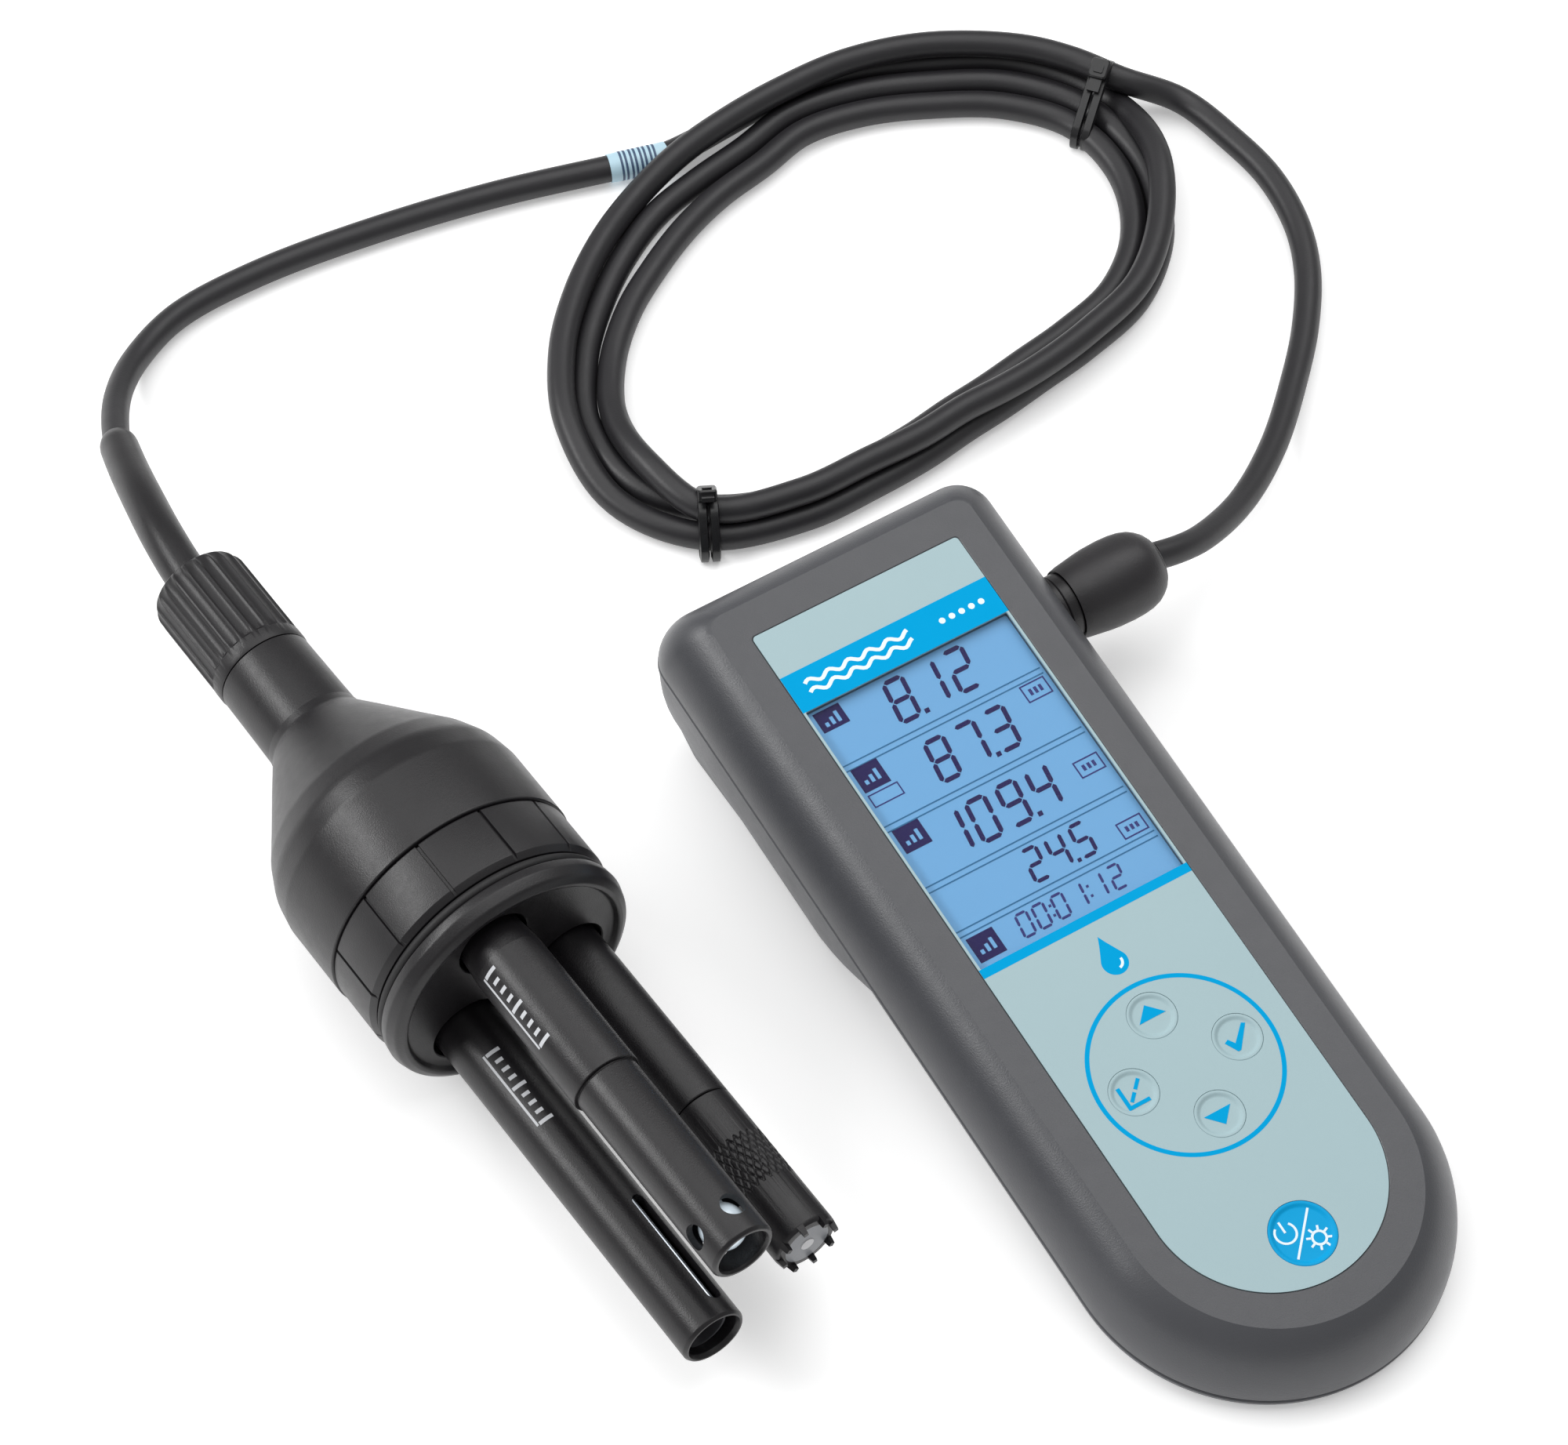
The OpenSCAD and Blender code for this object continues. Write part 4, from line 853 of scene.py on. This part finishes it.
# ---------------------------------------------------------------- plug
prof = fillet([(0, 0.1), (6.3, 0.1), (6.5, 0.4), (6.5, 2.4), (0, 2.4)], 0.15)
Build().add(revolve(prof, 72), SOCKET @ move(0, 0, 36.0)).done(
    "plug_base", BLACK, "cord_and_probe", "plug_collar", "black")
PLUG_AT = SOCKET @ move(0, 0, 36.1)
prof = [(0, 2.4), (6.3, 2.4), (6.75, 2.5), (6.9, 2.3), (7.25, 3.6), (7.6, 6), (7.9, 8), (8.1, 10), (8.2, 13),
        (8.1, 15.4), (7.85, 17.2), (7.35, 18.8), (6.7, 19.9), (5.9, 20.9), (5.6, 21.1), (0, 21.1)]
Build().add(revolve(prof, 84), PLUG_AT).done("plug_shell", CHARCOAL, "cord_and_probe", "plug_body", "black")
prof = [(0, 21.0), (5.45, 21.0), (5.35, 21.3), (5.0, 21.6), (4.4, 21.9), (3.2, 22.0), (0, 22.0)]
Build().add(revolve(prof, 60), PLUG_AT).done("plug_end", BLACK, "cord_and_probe", "plug_nose", "black")

# ---------------------------------------------------------------- probe
NUT_FLUTES = 22
FLUTES_S0, FLUTES_S1 = -104.5, -83.0
FLUTE_HALF, FLUTE_DEEP = 6.6, 0.5


def nut_dent(a, r, s):
    """Rounded flutes that fade out towards both ends of the nut."""
    if s > FLUTES_S1 or r < 8.9:
        return 0
    step = 360 / NUT_FLUTES
    off = abs((a + step / 2) % step - step / 2)
    deep = FLUTE_DEEP * (1 - (off / FLUTE_HALF) ** 2) ** 0.5 if off < FLUTE_HALF else 0
    fade = min(1.0, (FLUTES_S1 - s) / 0.5) * min(1.0, (s - FLUTES_S0) / 1.8)
    return deep * max(0.0, fade)


prof = [(4.3, -80.6), (4.3, -104.1), (4.6, -104.4), (7.9, -104.4), (8.35, -104.25), (8.75, -103.9),
        (9.1, -103.3), (9.35, -102.6), (9.5, -101.8)]
prof += [(9.52, s) for s in (-100, -95, -90, -85, -83.6, -83.2, -83.0, -80.8)]
prof += [(9.35, -80.3), (9.0, -80.2), (4.6, -80.2)]
Build().add(revolve(prof, 396, dent=nut_dent, closed=True), PROBE).done(
    "nut_shell", BLACK_SOFT, "gland_nut", "gland_nut", "black")

prof = fillet([(4, -80.1), (9.35, -80.1, 0.15), (9.5, -70), (9.62, -64), (10.0, -62, 2.5), (13.5, -56.7),
               (18.6, -48.8), (22.4, -43.0, 9), (24.6, -38.2, 9), (25.4, -33.4, 6), (25.4, -30),
               (25.4, -18.3, 0.3), (24.6, -18.1, 0.1), (18, -18.1)], 0.8, 7)
prof += [(18, -30), (6, -56), (4, -60)]
Build().add(revolve(prof, 144, closed=True), PROBE).done(
    "probe_shell", BLACK, "cord_and_probe", "housing", "case", 40)

# the ring's grooves, with close-set angles at each so that their walls stay steep
GROOVES = [15 + 30 * k for k in range(12)]
angles = []
for g0 in GROOVES:
    angles += [g0 - 14.9 + 2.1 * k for k in range(7)] + [g0 - 0.85, g0 - 0.6, g0 + 0.6, g0 + 0.85]
    angles += [g0 + 14.9 - 2.1 * k for k in range(6, -1, -1)][:-1]
angles = sorted(set(round(a % 360, 3) for a in angles))


def ring_dent(a, r, s):
    if r < 24.0 or s > -5.9:
        return 0
    off = min(abs((a - g0 + 180) % 360 - 180) for g0 in GROOVES)
    return 0.5 if off < 0.7 else 0


prof = fillet([(20.5, -18.0), (25.08, -18.0, 0.4), (25.08, -6.6, 0.3), (24.3, -5.4, 0.25), (20.5, -5.4)],
              0.3, 4)
Build().add(revolve(prof, angles=angles, dent=ring_dent, closed=True), PROBE).done(
    "ring_shell", BLACK_SOFT, "coupling_ring", "coupling_ring", "black")

prof = [(22, -5.4)]
prof += [(23.55 + 1.1 * cos_d(a), -4.3 + 1.0 * sin_d(a)) for a in range(-90, 91, 15)] + [(22, -3.3)]
Build().add(revolve(prof, 120, closed=True), PROBE).done(
    "ring_cushion", RUBBER, "cord_and_probe", "ring_seal", "rubber")

# carrier: rounded rim, recessed face and three flared bores
TURNS = {"ph": 103, "ec": 223, "do": 343}
BORE = 6.3
prof = fillet([(15, -3.2), (24.9, -3.2, 0.5), (25.15, -1.2, 1.2), (24.5, 0.9, 1.2), (23.2, 1.7, 0.7),
               (22.4, 1.7, 0.5), (21.8, 0.4, 0.6), (21.0, 0.4)], 0.4, 4)
b = Build().add(revolve(prof, 144, cap=False), PROBE)
holes = [circle(CIRCLE * cos_d(t), CIRCLE * sin_d(t), BORE + 0.95, 64) for t in TURNS.values()]
b.add(plate([(21.0 * cos_d(a), 21.0 * sin_d(a)) for a in even_angles(144)], -0.2, 0.4, holes), PROBE)
lip = [(BORE + 0.95, 0.4), (BORE + 0.75, 0.2), (BORE + 0.65, -0.2), (BORE + 0.6, -1.4), (BORE + 0.6, -3.1),
       (BORE + 1.4, -3.1), (BORE + 1.4, -0.2)]
for t in TURNS.values():
    b.add(revolve(lip, 64, cap=False), sensor_place(t))
b.done("carrier_face", BLACK, "cord_and_probe", "carrier", "case", 30)

# ---------------------------------------------------------------- sensors
# the part of each shaft that sits in the carrier, with the groove of its rubber ring
SHAFT_REAR = [(6.2, 0), (6.2, -9.2), (5.22, -9.2), (5.22, -11), (6.2, -11), (6.2, -19), (1, -19)]


def radial(angle, s):
    """Places a shape's Z axis outwards from the sensor's axis."""
    return turn(angle, "Z") @ move(0, 0, s) @ turn(90, "Y")


place = sensor_place(TURNS["ph"])
prof = fillet([(4.9, 58), (4.9, 75.9, 0.2), (5.2, 76.5, 0.15), (5.75, 76.5, 0.35), (6.2, 75.9, 0.5),
               (6.2, 35.9, 0.1), (6.02, 35.8, 0.05), (6.02, 35.5, 0.05), (6.74, 35.4, 0.2), (6.76, 5.6, 0.3),
               (6.3, 1.2, 0.2)] + SHAFT_REAR + [(1, 58)], 0.2, 4, True)
ph = Build().add(revolve(prof, 120, closed=True), place).done("acidity_tube", BLACK, None)
cut(ph, [(revolve([(2.3, 2.5), (2.3, 8.5)], 48), place @ radial(70 + 90 * k, 70.3)) for k in range(4)])
finish_piece(ph, "ph_sensor", "ph_body")


def mark(radius, a0, a1, s0, s1):
    """A thin print patch lying on a tube."""
    n = max(2, int((a1 - a0) / 4))
    turns = [a0 + (a1 - a0) * k / n for k in range(n + 1)]
    rings = []
    for r, s in ((radius - 0.05, s0), (radius + 0.015, s0), (radius + 0.015, s1), (radius - 0.05, s1)):
        rings.append([(r * cos_d(a), r * sin_d(a), s) for a in turns])
    verts = [p for ring in rings for p in ring]
    faces = []
    for i in range(4):
        for k in range(n):
            a, c = i * (n + 1) + k, ((i + 1) % 4) * (n + 1) + k
            faces.append((a, a + 1, c + 1, c))
    faces += [(0, n + 1, 2 * (n + 1), 3 * (n + 1)), tuple(i * (n + 1) + n for i in (3, 2, 1, 0))]
    return verts, faces


def scale_print(name, at, radius, middle, start, body):
    """A plain graduated scale, every fourth mark longer, with a line along one side."""
    b = Build()
    for k in range(9):
        half = 13 if k % 4 == 0 else 7
        s = start + 2.1 * k
        b.add(mark(radius, middle - half, middle + half, s, s + 0.75), at)
    b.add(mark(radius, middle + 15, middle + 19, start, start + 17.3), at)
    return b.done(name, PRINT, body)


scale_print("acidity_scale", place, 6.76, 142, 7.0, "ph_sensor")
# the bulb's pale, glowing colour paints the reflections and highlights seen in the glass
BULB_R, BULB_S = 4.2, 70.2
prof = [(0.6, 57.5), (2.2, 57.6), (2.6, 58), (2.6, 64.5)]
prof += [(BULB_R * cos_d(a), BULB_S + BULB_R * sin_d(a)) for a in range(-50, 90, 7)] + [(0.05, 74.4)]
Build().add(revolve(prof, 48), place).done("acidity_bulb", [BULB_SHEEN], "ph_sensor", "ph_bulb", "bulb")

place = sensor_place(TURNS["ec"])
prof = fillet([(5.0, 40), (5.0, 76.1, 0.2), (5.4, 77, 0.15), (5.8, 77, 0.3), (6.2, 76.4, 0.5), (6.2, 35)] +
              SHAFT_REAR + [(1, 40)], 0.2, 4, True)
ec = Build().add(revolve(prof, 120, closed=True), place).done("conductivity_tube", BLACK, None)
EC_TURN, SLOT_S, SLOT_HALF = 58, 59, 1.5
SLOT_END_INSET = 1.6
slot_loop = []
for s0, a0 in ((73.4 - SLOT_END_INSET, 0), (48.2 + SLOT_END_INSET, 180)):
    for k in range(17):
        a = a0 + 180 * k / 16
        slot_loop.append((-(s0 - SLOT_S + SLOT_HALF * sin_d(a)), SLOT_HALF * cos_d(a)))
cut(ec, [(plate(slot_loop, 3.2, 8.0), place @ radial(EC_TURN, SLOT_S))])
finish_piece(ec, "ec_sensor", "ec_body")
scale_print("conductivity_scale", place, 6.2, 100, 10, "ec_sensor")
prof = fillet([(0.3, 37), (0.95, 37), (0.95, 74.2, 0.5), (0.05, 74.6)], 0.3)
ROD_OUT, ROD_TURN = 4.7, EC_TURN + 7
Build().add(revolve(prof, 32), place @ move(ROD_OUT * cos_d(ROD_TURN), ROD_OUT * sin_d(ROD_TURN))).done(
    "conductivity_rod", BRIGHT_ROD, "ec_sensor", "ec_rod", "steel")

place = sensor_place(TURNS["do"])
prof = fillet(SHAFT_REAR[::-1] + [(6.2, 41.0, 0.1), (6.1, 41.2), (5.9, 41.3), (4.5, 41.3), (4.5, 70),
                                  (1, 70)], 0.2, 3, True)
Build().add(revolve(prof, 120, closed=True), place).done("oxygen_tube", BLACK, "do_sensor", "do_body", "case")


KNURL_ROWS = 26
KNURL_LEAD = 2.9


def knurl_profile():
    pts = [(4.66, 41.8), (5.9, 41.4), (6.1, 41.5), (6.2, 41.65), (6.2, 51.2)]
    pts += [(6.2, 51.4 + 10.2 * k / 34) for k in range(35)]
    return pts + [(6.2, 61.9), (6.2, 72.3), (6.0, 72.9), (5.7, 73.2), (4.9, 73.3), (2.7, 73.25), (2.6, 72.9),
                  (2.6, 72), (4.66, 72)]


def knurl_dent(a, r, s):
    if r < 6.15 or not 51.4 <= s <= 61.6:
        return 0
    pitch = 360 / KNURL_ROWS
    pu = (a / pitch + (s - 51.4) / KNURL_LEAD) % 1
    pv = (a / pitch - (s - 51.4) / KNURL_LEAD) % 1
    ridge = min(abs(pu - 0.5), abs(pv - 0.5)) * 2
    return 0.34 * max(0.0, 1 - ridge * 2.6)


b = Build().add(revolve(knurl_profile(), 312, dent=knurl_dent, closed=True), place)
for k in range(8):
    a = 10 + 45 * k
    tooth = [[(5.0, -0.65, 73), (6.15, -0.65, 72.6), (6.15, 0.65, 72.6), (5.0, 0.65, 73)],
             [(5.0, -0.45, 74.5), (5.85, -0.42, 74.5), (5.85, 0.42, 74.5), (5.0, 0.45, 74.5)]]
    b.add(loft(tooth), place @ turn(a, "Z"))
b.done("oxygen_cap", BLACK, "do_cap", "do_cap", "case", 30)
prof = [(0.02, 72.9), (4.6, 72.95), (4.75, 73.28), (2.9, 73.36), (1.5, 73.4), (0.02, 73.42)]
b = Build().add(revolve(prof, 48), place, 0)
b.add(revolve([(0.02, 73.3), (1.35, 73.35), (1.3, 73.52), (0.02, 73.56)], 32), place, 1)
b.done("oxygen_skin", [MEMBRANE, PALE], "do_cap", "do_membrane", "membrane")

# ---------------------------------------------------------------- CAD pieces kept with a finish
KEPT = {
    "lcd_frame": (BLACK, "black"), "backlight": (WHITE, "white"),
    "main_board": (BOARD, "board"), "board_screws": (STEEL, "steel"), "key_domes": (STEEL, "steel"),
    "socket": (BLACK, "black"), "socket_pins": (GOLD, "gold"), "battery_tray": (BLACK, "black"),
    "battery_cells": (CELL, "cell"), "battery_contacts": (STEEL, "steel"), "case_screws": (STEEL, "steel"),
    "battery_door": (GREY_LOW, "case"), "gland_seal": (RUBBER, "rubber"), "cable_tail": (CABLE, "cable"),
    "head_board": (BOARD, "board"), "head_contacts": (GOLD, "gold"), "ph_seal": (RUBBER, "rubber"),
    "ec_electrodes": (GRAPHITE, "graphite"), "ec_seal": (RUBBER, "rubber"), "do_cathode": (GOLD, "gold"),
    "do_seal": (RUBBER, "rubber"),
}
for name, (mat, slot_name) in KEPT.items():
    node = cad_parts[name]
    node.data.materials.clear()
    node.data.materials.append(mat)

# ---------------------------------------------------------------- floor and light
floor_mesh = bpy.data.meshes.new("floor")
FLOOR_HALF, FLOOR_AT = 6.0, -0.0001     # metres
floor_mesh.from_pydata(at_height(rect(-FLOOR_HALF, FLOOR_HALF, -FLOOR_HALF, FLOOR_HALF), FLOOR_AT), [],
                       [(0, 1, 2, 3)])
floor = bpy.data.objects.new("floor", floor_mesh)
bpy.context.collection.objects.link(floor)
floor_mat = bpy.data.materials.new("floor_paper")
floor_mat.use_nodes = True
for socket_name, value in (("Base Color", (0.93, 0.93, 0.93, 1)), ("Roughness", 0.9),
                           ("Specular IOR Level", 0.1), ("Emission Color", (1, 1, 1, 1)),
                           ("Emission Strength", 0.3)):
    floor_mat.node_tree.nodes["Principled BSDF"].inputs[socket_name].default_value = value
floor_mesh.materials.append(floor_mat)

world = bpy.data.worlds.new("studio")
bpy.context.scene.world = world
world.use_nodes = True
sky = world.node_tree.nodes["Background"]
sky.inputs["Color"].default_value = (1, 1, 1, 1)
sky.inputs["Strength"].default_value = 0.42


def area_light(name, at, aim, size, watts, size_y=None):
    data = bpy.data.lights.new(name, "AREA")
    data.shape = "RECTANGLE"
    data.size = size
    data.size_y = size_y or size
    data.energy = watts
    obj = bpy.data.objects.new(name, data)
    bpy.context.collection.objects.link(obj)
    d = Vector(aim) - Vector(at)
    obj.matrix_world = Matrix.Translation(at) @ d.to_track_quat("-Z", "Y").to_matrix().to_4x4()


# name, position, aim, width in metres, watts
area_light("overhead", (0.15, 0.3, 1.5), (0.04, 0.05, 0), 1.5, 11.5)
area_light("key_light", (0.95, 0.35, 1.1), (0.03, 0.05, 0), 0.8, 3.4)
area_light("rim_light", (-0.74, 0.6, 0.76), (0.03, -0.02, 0), 0.9, 8, 0.2)
bpy.context.scene.view_settings.view_transform = "Standard"
bpy.context.scene.view_settings.look = "None"
